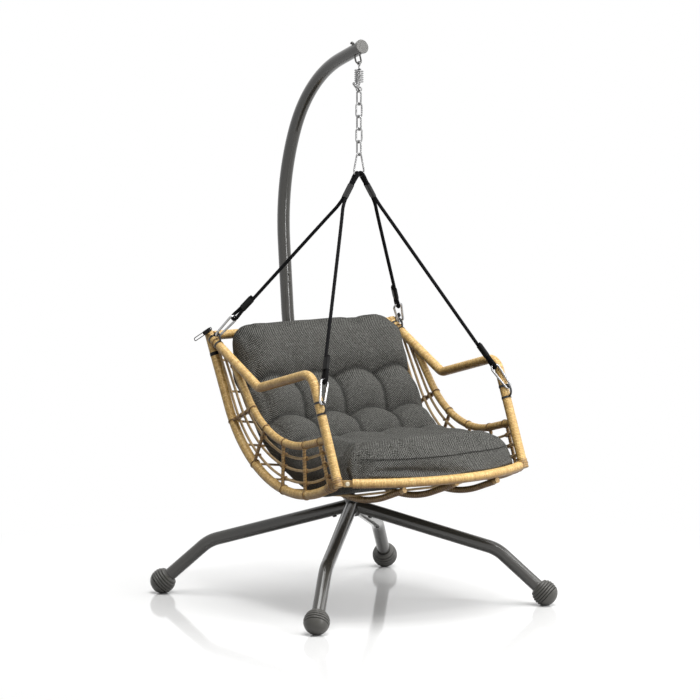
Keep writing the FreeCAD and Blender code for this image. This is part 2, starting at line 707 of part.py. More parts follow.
def sling_fork():
    """The point below the left sling's sleeve where its two legs part."""
    wire, heading = sling_eye()
    return wire + heading * (SLING_EYE_LENGTH + SLEEVE_LEAD + SLING_SLEEVE + FORK_LEAD)


def rail_line(end, start):
    """Heading of a straight rail in the side plane."""
    return unit(hung(0, end) - hung(0, start))


def corner_hang(corner, distance, along, lean):
    """Bow centre, outward direction and hook contact of a left-hand bow at a distance along its rail."""
    out = V(0, -along.z, along.y)
    if out.z < 0:
        out = out * -1
    foot = hung(-FRAME_HALF_WIDTH, corner) + along * distance + out * RAIL_R
    tilt = math.radians(lean)
    contact = foot + (out * math.cos(tilt) + along * math.sin(tilt)) * BOW_R
    wire_run = unit(along * math.cos(tilt) - out * math.sin(tilt))
    return foot, out, contact, wire_run


def left_corners():
    """The two left-hand hanging corners: name, rail heading, bow data and hook placement."""
    front_along = rail_line(ARM_FRONT, FRONT_CORNER)
    rear_along = rail_line(ARM_DIP, REAR_CORNER)
    corners = []
    for name, corner, distance, along, lean in (
            ("rear", REAR_CORNER, REAR_BOW_AT, rear_along, REAR_BOW_LEAN),
            ("front", FRONT_CORNER, FRONT_BOW_AT, front_along, FRONT_BOW_LEAN)):
        foot, out, contact, wire_run = corner_hang(corner, distance, along, lean)
        pull = unit(sling_fork() - contact)
        normal = unit(wire_run - pull * wire_run.dot(pull))
        aside = normal.cross(pull)
        square = math.sqrt(1 - wire_run.dot(pull) ** 2)
        drop = (BOW_WIRE_R + CORNER_HOOK_WIRE_R + 2 * RUN_GAP) / square - CORNER_HOOK_NARROW_R
        hook = frame_placement(contact - pull * drop, aside, pull)
        corners.append((name, along, foot, out, hook, pull, normal))
    return corners


def build_bow(along, foot, out):
    """A half-ring on two clamp bands round the rail."""
    ring = rod([Part.Arc(foot - along * BOW_R, foot + out * BOW_R, foot + along * BOW_R).toShape()], BOW_WIRE_R)
    axis_at = foot - out * RAIL_R
    bow = ring
    for sign in (-1, 1):
        start = axis_at + along * (sign * BOW_R - BOW_BAND / 2)
        bow = bow.fuse(Part.makeCylinder(RAIL_R + BOW_BAND_WALL, BOW_BAND, start, along))
    core = straight(axis_at - along * 3 * BOW_R, axis_at + along * 3 * BOW_R, RAIL_R + SLIP)
    return bow.cut(core).removeSplitter()


def sleeve(start, end, aside):
    """A flat-oval sleeve round two ropes that lie side by side."""
    along = unit(end - start)
    pair = ROPE_R + SLIP

    def oval(radius):
        a = start + aside * pair
        b = start - aside * pair
        side = along.cross(aside) * radius
        edges = [Part.makeLine(a + side, b + side),
                 Part.Arc(b + side, b - aside * radius, b - side).toShape(),
                 Part.makeLine(b - side, a - side),
                 Part.Arc(a - side, a + aside * radius, a + side).toShape()]
        return Part.Face(Part.Wire(edges)).extrude(end - start)

    return oval(ROPE_R + SLIP + SLEEVE_WALL).cut(oval(ROPE_R + SLIP))


def eye_corners(wire, out, aside, wire_r, length):
    """The two corners of a rope's turn round a wire; out points from the rope's run past the wire.

    The strands leave the turn along tangents that close to the pair's spacing at the given length.
    """
    bend = wire_r + ROPE_R + RUN_GAP
    pair = ROPE_R + SLIP
    lean = math.asin(bend / math.hypot(length, pair)) - math.atan2(pair, length)
    wide = bend * math.tan(math.pi / 4 + lean / 2)
    return wire + out * bend + aside * wide, wire + out * bend - aside * wide, bend


def build_slings():
    """Two slings, each one rope with an eye at the top hook and an eye at each corner hook."""
    pair = ROPE_R + SLIP
    wire, heading = sling_eye()
    y_dir = V(0, 1, 0)
    sleeve_top = wire + heading * SLING_EYE_LENGTH
    fork = sling_fork()
    ends = {}
    end_sleeves = []
    for name, along, foot, out, hook, pull, normal in left_corners():
        wide_wire = hook.multVec(V(0, 0, CORNER_HOOK_SPAN + CORNER_HOOK_WIDE_R))
        low = wide_wire + pull * END_EYE_LENGTH
        high = low + pull * (END_SLEEVE + 2 * SLEEVE_LEAD)
        c1, c2, bend = eye_corners(wide_wire, pull * -1, normal, CORNER_HOOK_WIRE_R, END_EYE_LENGTH)
        ends[name] = ([high - normal * pair, low - normal * pair, c2, c1, low + normal * pair,
                       high + normal * pair], bend)
        end_sleeves.append(sleeve(low + pull * SLEEVE_LEAD, high - pull * SLEEVE_LEAD, normal))
    t1, t2, top_bend = eye_corners(wire, heading * -1, y_dir, TOP_HOOK_WIRE_R, SLING_EYE_LENGTH)
    rear_points, bend = ends["rear"]
    front_points, _ = ends["front"]
    points = rear_points + [fork + y_dir * pair, sleeve_top + y_dir * pair, t1, t2,
                            sleeve_top - y_dir * pair, fork - y_dir * pair] + front_points[::-1]
    soft = SLING_FORK_R
    end_radii = [soft, bend - TINY, bend - TINY, soft, soft]
    radii = end_radii + [soft, soft, top_bend - TINY, top_bend - TINY, soft, soft] + end_radii[::-1]
    edges = rounded_path(points, radii)
    rope = rod(edges, ROPE_R)
    print("sling rope length", round(path_length(edges), 1), "volume by length",
          round(math.pi * ROPE_R ** 2 * path_length(edges), 1), "radii", sorted(set(round(r, 1) for r in radii)))
    for point in points:
        print("  sling point", [round(c, 1) for c in point])
    save("sling_rope_left", rope)
    save("sling_rope_right", mirrored(rope))
    top_sleeve = sleeve(sleeve_top + heading * SLEEVE_LEAD, fork - heading * FORK_LEAD, y_dir)
    save("sling_sleeves", [top_sleeve, mirrored(top_sleeve)])
    save("rope_end_sleeves", end_sleeves + [mirrored(s) for s in end_sleeves])


def build_hooks():
    """The top hook, the four corner hooks, their gates and the bows that carry the basket."""
    body, gate, _ = make_hook(TOP_HOOK_NARROW_R, TOP_HOOK_WIDE_R, TOP_HOOK_SPAN, TOP_HOOK_WIRE_R)
    hang = frame_placement(top_hook_centre(), V(1, 0, 0), V(0, 0, -1))
    save("top_hook", moved(body, hang))
    save("top_hook_gate", moved(gate, hang))
    body, gate, _ = make_hook(CORNER_HOOK_NARROW_R, CORNER_HOOK_WIDE_R, CORNER_HOOK_SPAN, CORNER_HOOK_WIRE_R)
    bows = []
    outer_clear = rod(outer_rail_path(), RAIL_R + SEAT_GAP)
    for name, along, foot, out, hook, pull, normal in left_corners():
        left_body = moved(body, hook)
        left_gate = moved(gate, hook)
        save("hook_" + name + "_left", left_body)
        save("hook_" + name + "_right", mirrored(left_body))
        save("hook_gate_" + name + "_left", left_gate)
        save("hook_gate_" + name + "_right", mirrored(left_gate))
        bows.append(build_bow(along, foot, out).cut(outer_clear))
    save("hang_bows", bows + [mirrored(bow) for bow in bows])


def side_path(start, knee, end, radius, x):
    """A rail in the side plane: two straight runs with one large bend."""
    return rounded_path([hung(x, start), hung(x, knee), hung(x, end)], [radius])


def blended(a, b, share):
    """A place between two side-plane places."""
    return (a[0] + (b[0] - a[0]) * share, a[1] + (b[1] - a[1]) * share)


def front_bar_end():
    """Left end of the front bar, its outward heading and its front-facing normal."""
    turn = FRONT_BAR_TURN
    end = hung(-FRONT_BAR_HALF, (FRONT_BAR_END_Y, FRONT_BAR_Z))
    return end, V(-math.cos(turn), math.sin(turn), 0), V(-math.sin(turn), -math.cos(turn), 0)


def front_bar_radius():
    """Radius of the front bar's forward bow."""
    return FRONT_BAR_HALF / math.sin(FRONT_BAR_TURN)


def plate(start, along, normal, length, height, thick):
    """An upright plate that runs along from start, with its front face on start."""
    base = start - V(0, 0, height / 2)
    corners = [base, base + along * length, base + along * length + V(0, 0, height), base + V(0, 0, height), base]
    return Part.Face(Part.makePolygon(corners)).extrude(normal * -thick)


def outer_rail_path():
    """Centre line of the left outer rail, which runs on a little past the rear corner."""
    x = -FRAME_HALF_WIDTH
    start = hung(x, REAR_CORNER) + rail_line(REAR_CORNER, SEAT_KNEE) * RAIL_END
    return rounded_path([start, hung(x, SEAT_KNEE), hung(x, FRONT_CORNER)], [SEAT_KNEE_R])


def rear_bow_space():
    """The space of the left rear bow's clamp bands round their rail, with the seating gap."""
    along = rail_line(ARM_DIP, REAR_CORNER)
    middle = hung(-FRAME_HALF_WIDTH, REAR_CORNER) + along * REAR_BOW_AT
    reach = along * (BOW_R + BOW_BAND / 2 + SEAT_GAP)
    return straight(middle - reach, middle + reach, RAIL_R + BOW_BAND_WALL + SEAT_GAP)


def build_basket():
    """Side frames, front and rear bars, seat rods and cross rods."""
    x = -FRAME_HALF_WIDTH
    upright = rail_line(ARM_FRONT, FRONT_CORNER)
    foot = hung(x, FRONT_CORNER) - upright * RAIL_END
    arm_path = rounded_path([foot, hung(x, ARM_FRONT), hung(x, ARM_DIP), hung(x, REAR_CORNER)],
                            [ARM_FRONT_R, ARM_DIP_R])
    arm = rod(arm_path, RAIL_R)
    back_line = rail_line(REAR_CORNER, SEAT_KNEE)
    outer_start = hung(x, REAR_CORNER) + back_line * RAIL_END
    outer_path = outer_rail_path()
    outer = rod(outer_path, RAIL_R)
    post_clear = straight(foot - upright * RAIL_R, hung(x, FRONT_CORNER) + upright * 6 * RAIL_R, RAIL_R + SEAT_GAP)
    outer = outer.cut(post_clear)
    outer = max(outer.Solids, key=lambda solid: solid.Volume)
    top_clear = straight(outer_start + back_line * RAIL_R, outer_start - back_line * 6 * RAIL_R, RAIL_R + SEAT_GAP)
    arm = max(arm.cut(top_clear).Solids, key=lambda solid: solid.Volume)
    inner_path = side_path(INNER_TOP, INNER_KNEE, INNER_FRONT, INNER_KNEE_R, x)
    inner = rod(inner_path, INNER_RAIL_R)
    slant = rail_line(REAR_CORNER, ARM_DIP)
    slant_clear = straight(hung(x, ARM_DIP), hung(x, REAR_CORNER) + slant * RAIL_R, RAIL_R + SEAT_GAP)
    inner = max(inner.cut(slant_clear).cut(post_clear_for(foot, upright, x)).Solids, key=lambda solid: solid.Volume)

    rods = []
    rod_x = x + SIDE_ROD_R + SEAT_GAP / 2
    for k in range(1, SIDE_ROD_COUNT + 1):
        share = k / (SIDE_ROD_COUNT + 1)
        path = side_path(blended(INNER_TOP, REAR_CORNER, share), blended(INNER_KNEE, SEAT_KNEE, share),
                         blended(INNER_FRONT, FRONT_CORNER, share),
                         INNER_KNEE_R + (SEAT_KNEE_R - INNER_KNEE_R) * share, rod_x)
        strand = rod(path, SIDE_ROD_R).cut(slant_clear).cut(post_clear_for(foot, upright, x)).cut(top_clear)
        strand = strand.cut(rear_bow_space())
        rods.append(max(strand.Solids, key=lambda solid: solid.Volume))
    ribs = []
    rib_shift = V(-RIB_R - SEAT_GAP / 2, 0, 0)
    outer_clear = rod(outer_path, RAIL_R + SEAT_GAP)
    inner_clear = rod(inner_path, INNER_RAIL_R + SEAT_GAP)
    for inner_at, outer_at in zip(RIB_INNER_STATIONS, RIB_OUTER_STATIONS):
        a, _ = along_path(inner_path, inner_at * path_length(inner_path))
        b, _ = along_path(outer_path, outer_at * path_length(outer_path))
        rib = straight(a + rib_shift, b + rib_shift, RIB_R).cut(outer_clear).cut(inner_clear)
        rib = rib.cut(post_clear_for(foot, upright, x))
        ribs.append(max(rib.Solids, key=lambda solid: solid.Volume))

    end, outward, front = front_bar_end()
    bar_arc = Part.Arc(end, hung(0, (FRONT_BAR_END_Y - FRONT_BAR_BOW, FRONT_BAR_Z)), V(-end.x, end.y, end.z))
    bar = rod([bar_arc.toShape()], RAIL_R)
    tongue = plate(end + front * TONGUE_THICK - outward, outward, front, TONGUE_LENGTH, TONGUE_HEIGHT, TONGUE_THICK)
    tab_start = hung(x, FRONT_CORNER)
    tab_start = V(tab_start.x, tab_start.y, end.z) - front * SEAT_GAP
    tab = plate(tab_start, outward * -1, front, TAB_LENGTH, TONGUE_HEIGHT, TONGUE_THICK)
    bolt_seat = end + outward * TONGUE_BOLT_AT + front * TONGUE_THICK
    hole = straight(bolt_seat + front * RAIL_R, bolt_seat - front * RAIL_R, BOLT_R + SLIP)
    tongue = tongue.cut(hole)
    arm = arm.fuse(tab).cut(hole).removeSplitter()
    grip = 2 * TONGUE_THICK + SEAT_GAP
    corner_bolt = bolt(bolt_seat, front * -1, grip, BOLT_R, BOLT_HEAD_R, BOLT_HEAD_H, NUT_H)
    bar = bar.fuse(tongue).fuse(mirrored(tongue)).removeSplitter()
    rear_end = hung(x + RAIL_R + SEAT_GAP, REAR_CORNER)
    rear_bar = straight(rear_end, V(-rear_end.x, rear_end.y, rear_end.z), RAIL_R)

    for name, piece in (("outer_rail", outer), ("arm_rail", arm), ("inner_rail", inner)):
        save(name + "_left", piece)
        save(name + "_right", mirrored(piece))
    for name, pieces in (("side_rods", rods), ("side_ribs", ribs)):
        save(name + "_left", pieces)
        save(name + "_right", [mirrored(piece) for piece in pieces])
    save("front_bar", bar)
    save("front_bar_bolts", [corner_bolt, mirrored(corner_bolt)])
    save("rear_bar", rear_bar)
    build_seat_rods(bar_arc, outer_path)


def post_clear_for(foot, upright, x):
    """The space of the front upright, with the seating gap."""
    return straight(foot, hung(x, ARM_FRONT), RAIL_R + SEAT_GAP)


def seat_rod_path(x):
    """A seat rod from the rear bar to under the front bar."""
    return side_path(REAR_CORNER, SEAT_ROD_KNEE, SEAT_ROD_FRONT, SEAT_ROD_KNEE_R, x)


def cross_rod_bars(outer_path, radius):
    """The cross rods: straight over the seat rods, then down to the outer rails."""
    bars = []
    side_x = FRAME_HALF_WIDTH
    middle = seat_rod_path(0)
    for station in CROSS_ROD_STATIONS:
        a, _ = along_path(outer_path, station * path_length(outer_path))
        b, heading = along_path(middle, station * path_length(middle))
        inward = V(0, heading.z, -heading.y)
        b = b + inward * (SEAT_ROD_R + CROSS_ROD_R + SEAT_GAP)
        bend_x = SEAT_ROD_X[2] + CROSS_ROD_OUT
        points = [V(-side_x, a.y, a.z), V(-bend_x, b.y, b.z), V(bend_x, b.y, b.z), V(side_x, a.y, a.z)]
        bars.append(rod(rounded_path(points, [CROSS_ROD_BEND_R, CROSS_ROD_BEND_R]), radius))
    return bars


def build_seat_rods(bar_arc, outer_path):
    """Three long rods under the cushion, and the cross rods that lie on them."""
    bar_clear = rod([bar_arc.toShape()], RAIL_R + SEAT_GAP)
    rear = hung(0, REAR_CORNER)
    reach = V(FRAME_HALF_WIDTH, 0, 0)
    rear_clear = straight(rear - reach, rear + reach, RAIL_R + SEAT_GAP)
    for name, x in zip(("left", "middle", "right"), SEAT_ROD_X):
        path = seat_rod_path(x)
        radius = front_bar_radius()
        ahead = math.sqrt(radius ** 2 - x ** 2) - math.sqrt(radius ** 2 - SEAT_ROD_X[0] ** 2)
        last, heading = along_path(path, path_length(path))
        if ahead > TINY:
            path.append(Part.makeLine(last, last + heading * ahead))
        solid = rod(path, SEAT_ROD_R).cut(bar_clear).cut(rear_clear)
        save("seat_rod_" + name, max(solid.Solids, key=lambda piece: piece.Volume))
    cross = []
    outer_clear = rod(outer_path, RAIL_R + SEAT_GAP)
    for bar in cross_rod_bars(outer_path, CROSS_ROD_R):
        bar = bar.cut(outer_clear).cut(mirrored(outer_clear))
        cross.append(max(bar.Solids, key=lambda piece: piece.Volume))
    save("cross_rods", cross)


def build_clips():
    """A closed wire loop in a rubber sleeve beside each rear corner."""
    upper = hung(-FRAME_HALF_WIDTH - CLIP_UPPER[0], CLIP_UPPER[1:])
    lower = hung(-FRAME_HALF_WIDTH - CLIP_LOWER[0], CLIP_LOWER[1:])
    along = unit(lower - upper)
    aside = unit(along.cross(V(1, 0, 0))) * CLIP_HALF_WIDTH
    edges = [Part.makeLine(upper + aside, lower + aside),
             Part.Arc(lower + aside, lower + along * CLIP_HALF_WIDTH, lower - aside).toShape(),
             Part.makeLine(lower - aside, upper - aside),
             Part.Arc(upper - aside, upper - along * CLIP_HALF_WIDTH, upper + aside).toShape()]
    wire = rod(edges, CLIP_WIRE_R)
    middle = lower - along * CLIP_SLEEVE_AT
    band = Part.makeCylinder(CLIP_SLEEVE_R, CLIP_SLEEVE_LENGTH, middle - along * CLIP_SLEEVE_LENGTH / 2, along)
    band = band.makeFillet(CLIP_WIRE_R, [edge for edge in band.Edges if len(edge.Vertexes) == 1])
    for sign in (-1, 1):
        side = aside * sign
        band = band.cut(straight(upper + side, lower + side, CLIP_WIRE_R + SLIP))
    save("rear_clip_wires", [wire, mirrored(wire)])
    save("rear_clip_sleeves", [band, mirrored(band)])


def cushion_section(point, inward, crown, valley, side, half, sag):
    """A closed cross-section: flat below with sagging edges, round sides, four pillows between the tufts."""

    def at(x, up):
        return V(x, point.y, point.z) + inward * up

    foot_x = half - CUSHION_SIDE_DRAW
    marks = [half - CUSHION_SIDE_DRAW, CUSHION_TUFT_X, 0.0, -CUSHION_TUFT_X, -half + CUSHION_SIDE_DRAW]
    levels = [side, valley, valley, valley, side]
    bend_x = SEAT_ROD_X[2] + CROSS_ROD_OUT
    edges = [Part.makeLine(at(-bend_x, 0), at(bend_x, 0)),
             Part.makeLine(at(bend_x, 0), at(foot_x, -sag)),
             Part.Arc(at(foot_x, -sag), at(half, (side - sag) / 2), at(marks[0], side)).toShape()]
    for k in range(4):
        top = at((marks[k] + marks[k + 1]) / 2, crown)
        edges.append(Part.Arc(at(marks[k], levels[k]), top, at(marks[k + 1], levels[k + 1])).toShape())
    edges.append(Part.Arc(at(-foot_x, side), at(-half, (side - sag) / 2), at(-foot_x, -sag)).toShape())
    edges.append(Part.makeLine(at(-foot_x, -sag), at(-bend_x, 0)))
    return Part.Wire(edges)


def cushion_sag(point, share, outer_wire):
    """How far the cushion's edges hang below its middle, from the distance to the outer rails' line."""
    start, full, last, end = CUSHION_SAG_SPAN
    fade = min(1.0, max(0.0, (share - start) / (full - start)), max(0.0, (end - share) / (end - last)))
    ease = (1 - math.cos(math.pi * fade)) / 2
    away = outer_wire.distToShape(Part.Vertex(point))[0]
    return CUSHION_SAG_SHARE * (away + SEAT_ROD_R + CROSS_ROD_R) * ease


def build_cushion():
    """The quilted cushion: pillows between sewn tufts, drawn-in sides, and a bowed front above the bar."""
    path = seat_rod_path(0)
    total = path_length(path)
    rest = SEAT_ROD_R + 2 * CROSS_ROD_R + 2 * SEAT_GAP + RUN_GAP
    rows = [CUSHION_TOP] + [(row[0] * total,) + row[1:] for row in CUSHION_ROWS]
    rows.append((total + CUSHION_FRONT[0],) + CUSHION_FRONT[1:])
    stations = [rows[0]]
    for low, high in zip(rows, rows[1:]):
        for k in range(1, CUSHION_STEPS + 1):
            share = k / CUSHION_STEPS
            ease = (1 - math.cos(math.pi * share)) / 2
            heights = [c0 + (c1 - c0) * ease for c0, c1 in zip(low[1:], high[1:])]
            stations.append((low[0] + (high[0] - low[0]) * share, *heights))
    wires = []
    outer_wire = Part.Wire(outer_rail_path())
    outer_wire.translate(V(FRAME_HALF_WIDTH, 0, 0))
    for distance, crown, valley, side in stations:
        point, heading = along_path(path, max(distance, 0.0))
        if distance < 0:
            point = point + heading * distance
        if distance > total:
            point = point + heading * (distance - total)
        inward = V(0, heading.z, -heading.y)
        sag = cushion_sag(point, distance / total, outer_wire)
        wires.append(cushion_section(point + inward * rest, inward, CUSHION_THICK * crown, CUSHION_THICK * valley,
                                     CUSHION_THICK * side, CUSHION_HALF_WIDTH, sag))
    pad = Part.makeLoft(wires, True, True)
    middle = hung(0, (FRONT_BAR_END_Y - FRONT_BAR_BOW, FRONT_BAR_Z))
    radius = front_bar_radius()
    centre = V(0, middle.y + radius, 0)
    keep = Part.makeCylinder(radius + CUSHION_FRONT_OVERHANG, 2 * FRAME_Z, centre)
    pad = pad.common(keep)
    bar_clear = Part.makeTorus(radius, RAIL_R + RUN_GAP, V(0, centre.y, middle.z), V(0, 0, 1))
    below = Part.makeCylinder(radius + RAIL_R, 2 * RAIL_R, V(0, centre.y, middle.z - 2 * RAIL_R + RUN_GAP))
    inside = Part.makeCylinder(radius, 4 * RAIL_R, V(0, centre.y, middle.z - 3 * RAIL_R))
    pad = pad.cut(bar_clear).cut(below.cut(inside))
    for bar in cross_rod_bars(outer_rail_path(), CROSS_ROD_R + SEAT_GAP):
        if pad.common(bar).Volume > TINY:
            pad = pad.cut(bar)
    pad = max(pad.Solids, key=lambda solid: solid.Volume)
    save("cushion", pad)


def main():
    os.makedirs("parts", exist_ok=True)
    build_stand()
    build_spring()
    build_chain()
    build_hooks()
    build_slings()
    build_basket()
    build_clips()
    build_cushion()


main()
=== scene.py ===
# %% [markdown]
# # A hanging swing chair
# A basket seat of wound tubes hangs by two rope slings, a chain and a spring from a curved steel mast.
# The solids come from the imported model, in metres, with the floor at z = 0 and the sitter facing -Y.
# This lesson gives the solids their finishes and adds what solids cannot show: wound strands, braided
# rope, lashings and a sewn cushion.

# %% The frame
import bpy
import math
import numpy as np
from mathutils import Matrix, Vector


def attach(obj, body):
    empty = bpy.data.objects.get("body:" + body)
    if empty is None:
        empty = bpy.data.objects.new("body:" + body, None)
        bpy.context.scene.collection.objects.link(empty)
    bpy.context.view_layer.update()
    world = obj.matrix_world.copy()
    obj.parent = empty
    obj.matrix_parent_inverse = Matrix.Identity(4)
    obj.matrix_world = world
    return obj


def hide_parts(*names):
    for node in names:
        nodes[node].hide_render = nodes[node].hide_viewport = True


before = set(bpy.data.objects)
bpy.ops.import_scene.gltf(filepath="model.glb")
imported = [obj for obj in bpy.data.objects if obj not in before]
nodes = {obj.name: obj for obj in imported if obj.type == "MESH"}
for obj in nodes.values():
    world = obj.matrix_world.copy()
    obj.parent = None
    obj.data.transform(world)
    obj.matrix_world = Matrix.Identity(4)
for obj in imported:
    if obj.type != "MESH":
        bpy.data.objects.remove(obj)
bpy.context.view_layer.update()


def in_scene(name, data):
    """A new object in the scene."""
    thing = bpy.data.objects.new(name, data)
    bpy.context.scene.collection.objects.link(thing)
    return thing



# %% [markdown]
# ## Camera
# A product picture is taken from far away with a long lens, so upright lines stay upright. The camera
# looks at a point at the middle of the picture, from the front left and a little above.

# %% Camera
HUB_Y = 0.050576
CHAIN_Y = 0.011486
CAMERA_TURN = math.radians(-34.87)
CAMERA_RISE = math.radians(6.85)
CAMERA_DISTANCE = 14.0
CAMERA_TARGET = Vector((-0.0095, HUB_Y, 0.8606))

camera_data = bpy.data.cameras.new("picture_camera")
camera_data.lens = 211.6
camera_data.sensor_width = 36.0
camera_data.clip_end = 100.0
camera = in_scene("picture_camera", camera_data)
camera_back = Vector((math.sin(CAMERA_TURN) * math.cos(CAMERA_RISE),
                      -math.cos(CAMERA_TURN) * math.cos(CAMERA_RISE), math.sin(CAMERA_RISE)))
camera.location = CAMERA_TARGET + camera_back * CAMERA_DISTANCE
camera.rotation_euler = (-camera_back).to_track_quat("-Z", "Y").to_euler()
bpy.context.scene.camera = camera
print("camera at", [round(c, 3) for c in camera.location])

# %% [markdown]
# ## Surfaces from grids
# Every new piece is a grid of points: rows run along the piece, columns run round it. One helper turns
# such a grid into a mesh with a UV map, so that a material can follow the piece. Another gives each
# point of a line its two cross directions, from one flat direction that the line never points along.

# %% Grid helpers
def grid_piece(name, grid, uv_size=(1.0, 1.0), values=None):
    """Closed tube from a grid (rows, columns, 3): quads between neighbours, one flat cap at each end.

    The UV map runs 0..uv_size[0] round the tube and 0..uv_size[1] along it.
    values are named arrays (rows, columns) that become point attributes.
    """
    rows, columns = grid.shape[:2]
    index = np.arange(rows * columns).reshape(rows, columns)
    onward = np.roll(index, -1, axis=1)
    quads = np.stack([index[:-1], onward[:-1], onward[1:], index[1:]], axis=-1).reshape(-1, 4)
    caps = [index[0, ::-1].tolist(), index[-1].tolist()]
    mesh = bpy.data.meshes.new(name)
    mesh.from_pydata(grid.reshape(-1, 3).tolist(), [], quads.tolist() + caps)
    net = np.meshgrid(np.linspace(0, uv_size[0], columns + 1), np.linspace(0, uv_size[1], rows))
    net = np.stack(net, axis=-1)
    corners = np.stack([net[:-1, :-1], net[:-1, 1:], net[1:, 1:], net[1:, :-1]], axis=2)
    flat = np.concatenate([corners.reshape(-1, 2), np.zeros((2 * columns, 2))])
    mesh.uv_layers.new(name="UVMap").data.foreach_set("uv", flat.astype(np.float32).ravel())
    for key, array in (values or {}).items():
        mesh.attributes.new(key, "FLOAT", "POINT").data.foreach_set("value", array.astype(np.float32).ravel())
    mesh.polygons.foreach_set("use_smooth", np.ones(len(mesh.polygons), dtype=bool))
    mesh.update()
    return in_scene(name, mesh)


def unit(vectors):
    """A vector, or each row of an array, at length one."""
    return vectors / np.linalg.norm(vectors, axis=-1, keepdims=True)


def headings(line):
    """The direction of a line at each of its points."""
    return unit(np.gradient(line, axis=0))


def cross_directions(line, flat):
    """Tangent, side and up at each point: the side is the flat direction made square to the tangent."""
    tangent = headings(line)
    side = unit(np.asarray(flat, float) - (tangent @ np.asarray(flat, float))[:, None] * tangent)
    return tangent, side, np.cross(tangent, side)


def ring(count, side, up):
    """Angles of the columns round a tube, and the outward direction of each column at each row."""
    angle = np.arange(count) / count * 2 * np.pi
    return angle, np.cos(angle)[None, :, None] * side[:, None] + np.sin(angle)[None, :, None] * up[:, None]


def read_line(places, marks, line, axes=(0, 1, 2)):
    """Points at distances along a line, whose own points lie at the marks."""
    return np.stack([np.interp(places, marks, line[:, k]) for k in axes], axis=-1)


def evenly(line, step):
    """The same line with points at equal steps, and the distance of each along it."""
    reach = np.concatenate([[0.0], np.cumsum(np.linalg.norm(np.diff(line, axis=0), axis=1))])
    places = np.linspace(0.0, reach[-1], max(int(reach[-1] / step), 2) + 1)
    return read_line(places, reach, line), places


def join_pieces(name, pieces):
    """Several meshes as one object."""
    bpy.ops.object.select_all(action="DESELECT")
    for piece in pieces:
        piece.select_set(True)
    bpy.context.view_layer.objects.active = pieces[0]
    bpy.ops.object.join()
    pieces[0].name = name
    pieces[0].data.name = name
    return pieces[0]


# %% [markdown]
# ## Node materials
# A material is a small graph of nodes. The helpers below keep the graphs readable: one makes a material
# with its shader, one adds a node and wires its inputs, and the others add the nodes that come up often.

# %% Material helpers
def finish(name, roughness, metallic=0.0, **sockets):
    """A new material; constants go straight on the shader's own sockets."""
    material = bpy.data.materials.new(name)
    material.use_nodes = True
    shader = material.node_tree.nodes["Principled BSDF"]
    shader.inputs["Roughness"].default_value = roughness
    shader.inputs["Metallic"].default_value = metallic
    for key, value in sockets.items():
        shader.inputs[key.replace("_", " ")].default_value = value
    return material, shader


def add(material, kind, inputs=None, **settings):
    """Add a node; inputs maps socket names or numbers to values or to other nodes' outputs."""
    node = material.node_tree.nodes.new(kind)
    for key, value in settings.items():
        setattr(node, key, value)
    for key, value in (inputs or {}).items():
        if isinstance(value, bpy.types.NodeSocket):
            material.node_tree.links.new(value, node.inputs[key])
        else:
            node.inputs[key].default_value = value
    return node


def link(material, output, socket):
    """Wire an output to an input socket."""
    material.node_tree.links.new(output, socket)


def ramp(material, value, stops):
    """A colour ramp with (place, colour) stops."""
    node = add(material, "ShaderNodeValToRGB", {"Fac": value})
    while len(node.color_ramp.elements) < len(stops):
        node.color_ramp.elements.new(0.5)
    for element, (place, colour) in zip(node.color_ramp.elements, stops):
        element.position = place
        element.color = (*colour, 1.0)
    return node.outputs["Color"]


def maths(material, operation, first, second):
    """Two values worked into one."""
    return add(material, "ShaderNodeMath", {0: first, 1: second}, operation=operation).outputs[0]


def times(material, first, second):
    """Two colours multiplied."""
    node = add(material, "ShaderNodeMix", {0: 1.0, 6: first, 7: second}, data_type="RGBA",
               blend_type="MULTIPLY")
    return node.outputs[2]


def measured(material, name, output="Fac"):
    """A measure that the piece's points carry as an attribute."""
    return add(material, "ShaderNodeAttribute", attribute_name=name).outputs[output]


def noise(material, vector, scale, detail=3.0, roughness=0.55):
    """A noise pattern."""
    node = add(material, "ShaderNodeTexNoise",
               {"Vector": vector, "Scale": scale, "Detail": detail, "Roughness": roughness})
    return node.outputs["Fac"]


def object_place(material):
    """Object coordinates."""
    return add(material, "ShaderNodeTexCoord").outputs["Object"]


def bump(material, shader, height, strength, distance):
    """Bump from a height pattern."""
    node = add(material, "ShaderNodeBump", {"Height": height, "Strength": strength, "Distance": distance})
    link(material, node.outputs["Normal"], shader.inputs["Normal"])


def paint(material, shader, colour):
    """Wire a colour to the shader."""
    link(material, colour, shader.inputs["Base Color"])


def ranged(material, value, limits, **settings):
    """A value moved from one range to another."""
    return add(material, "ShaderNodeMapRange", {"Value": value, **limits}, **settings).outputs[0]


def coat(pieces, material):
    """Give new pieces a finish."""
    for piece in pieces:
        piece.data.materials.append(material)


def dress(names, material):
    """Give solids of the frame a finish."""
    for name in names:
        target = nodes[name]
        for slot in target.material_slots:
            slot.material = material
        if not target.material_slots:
            target.data.materials.append(material)
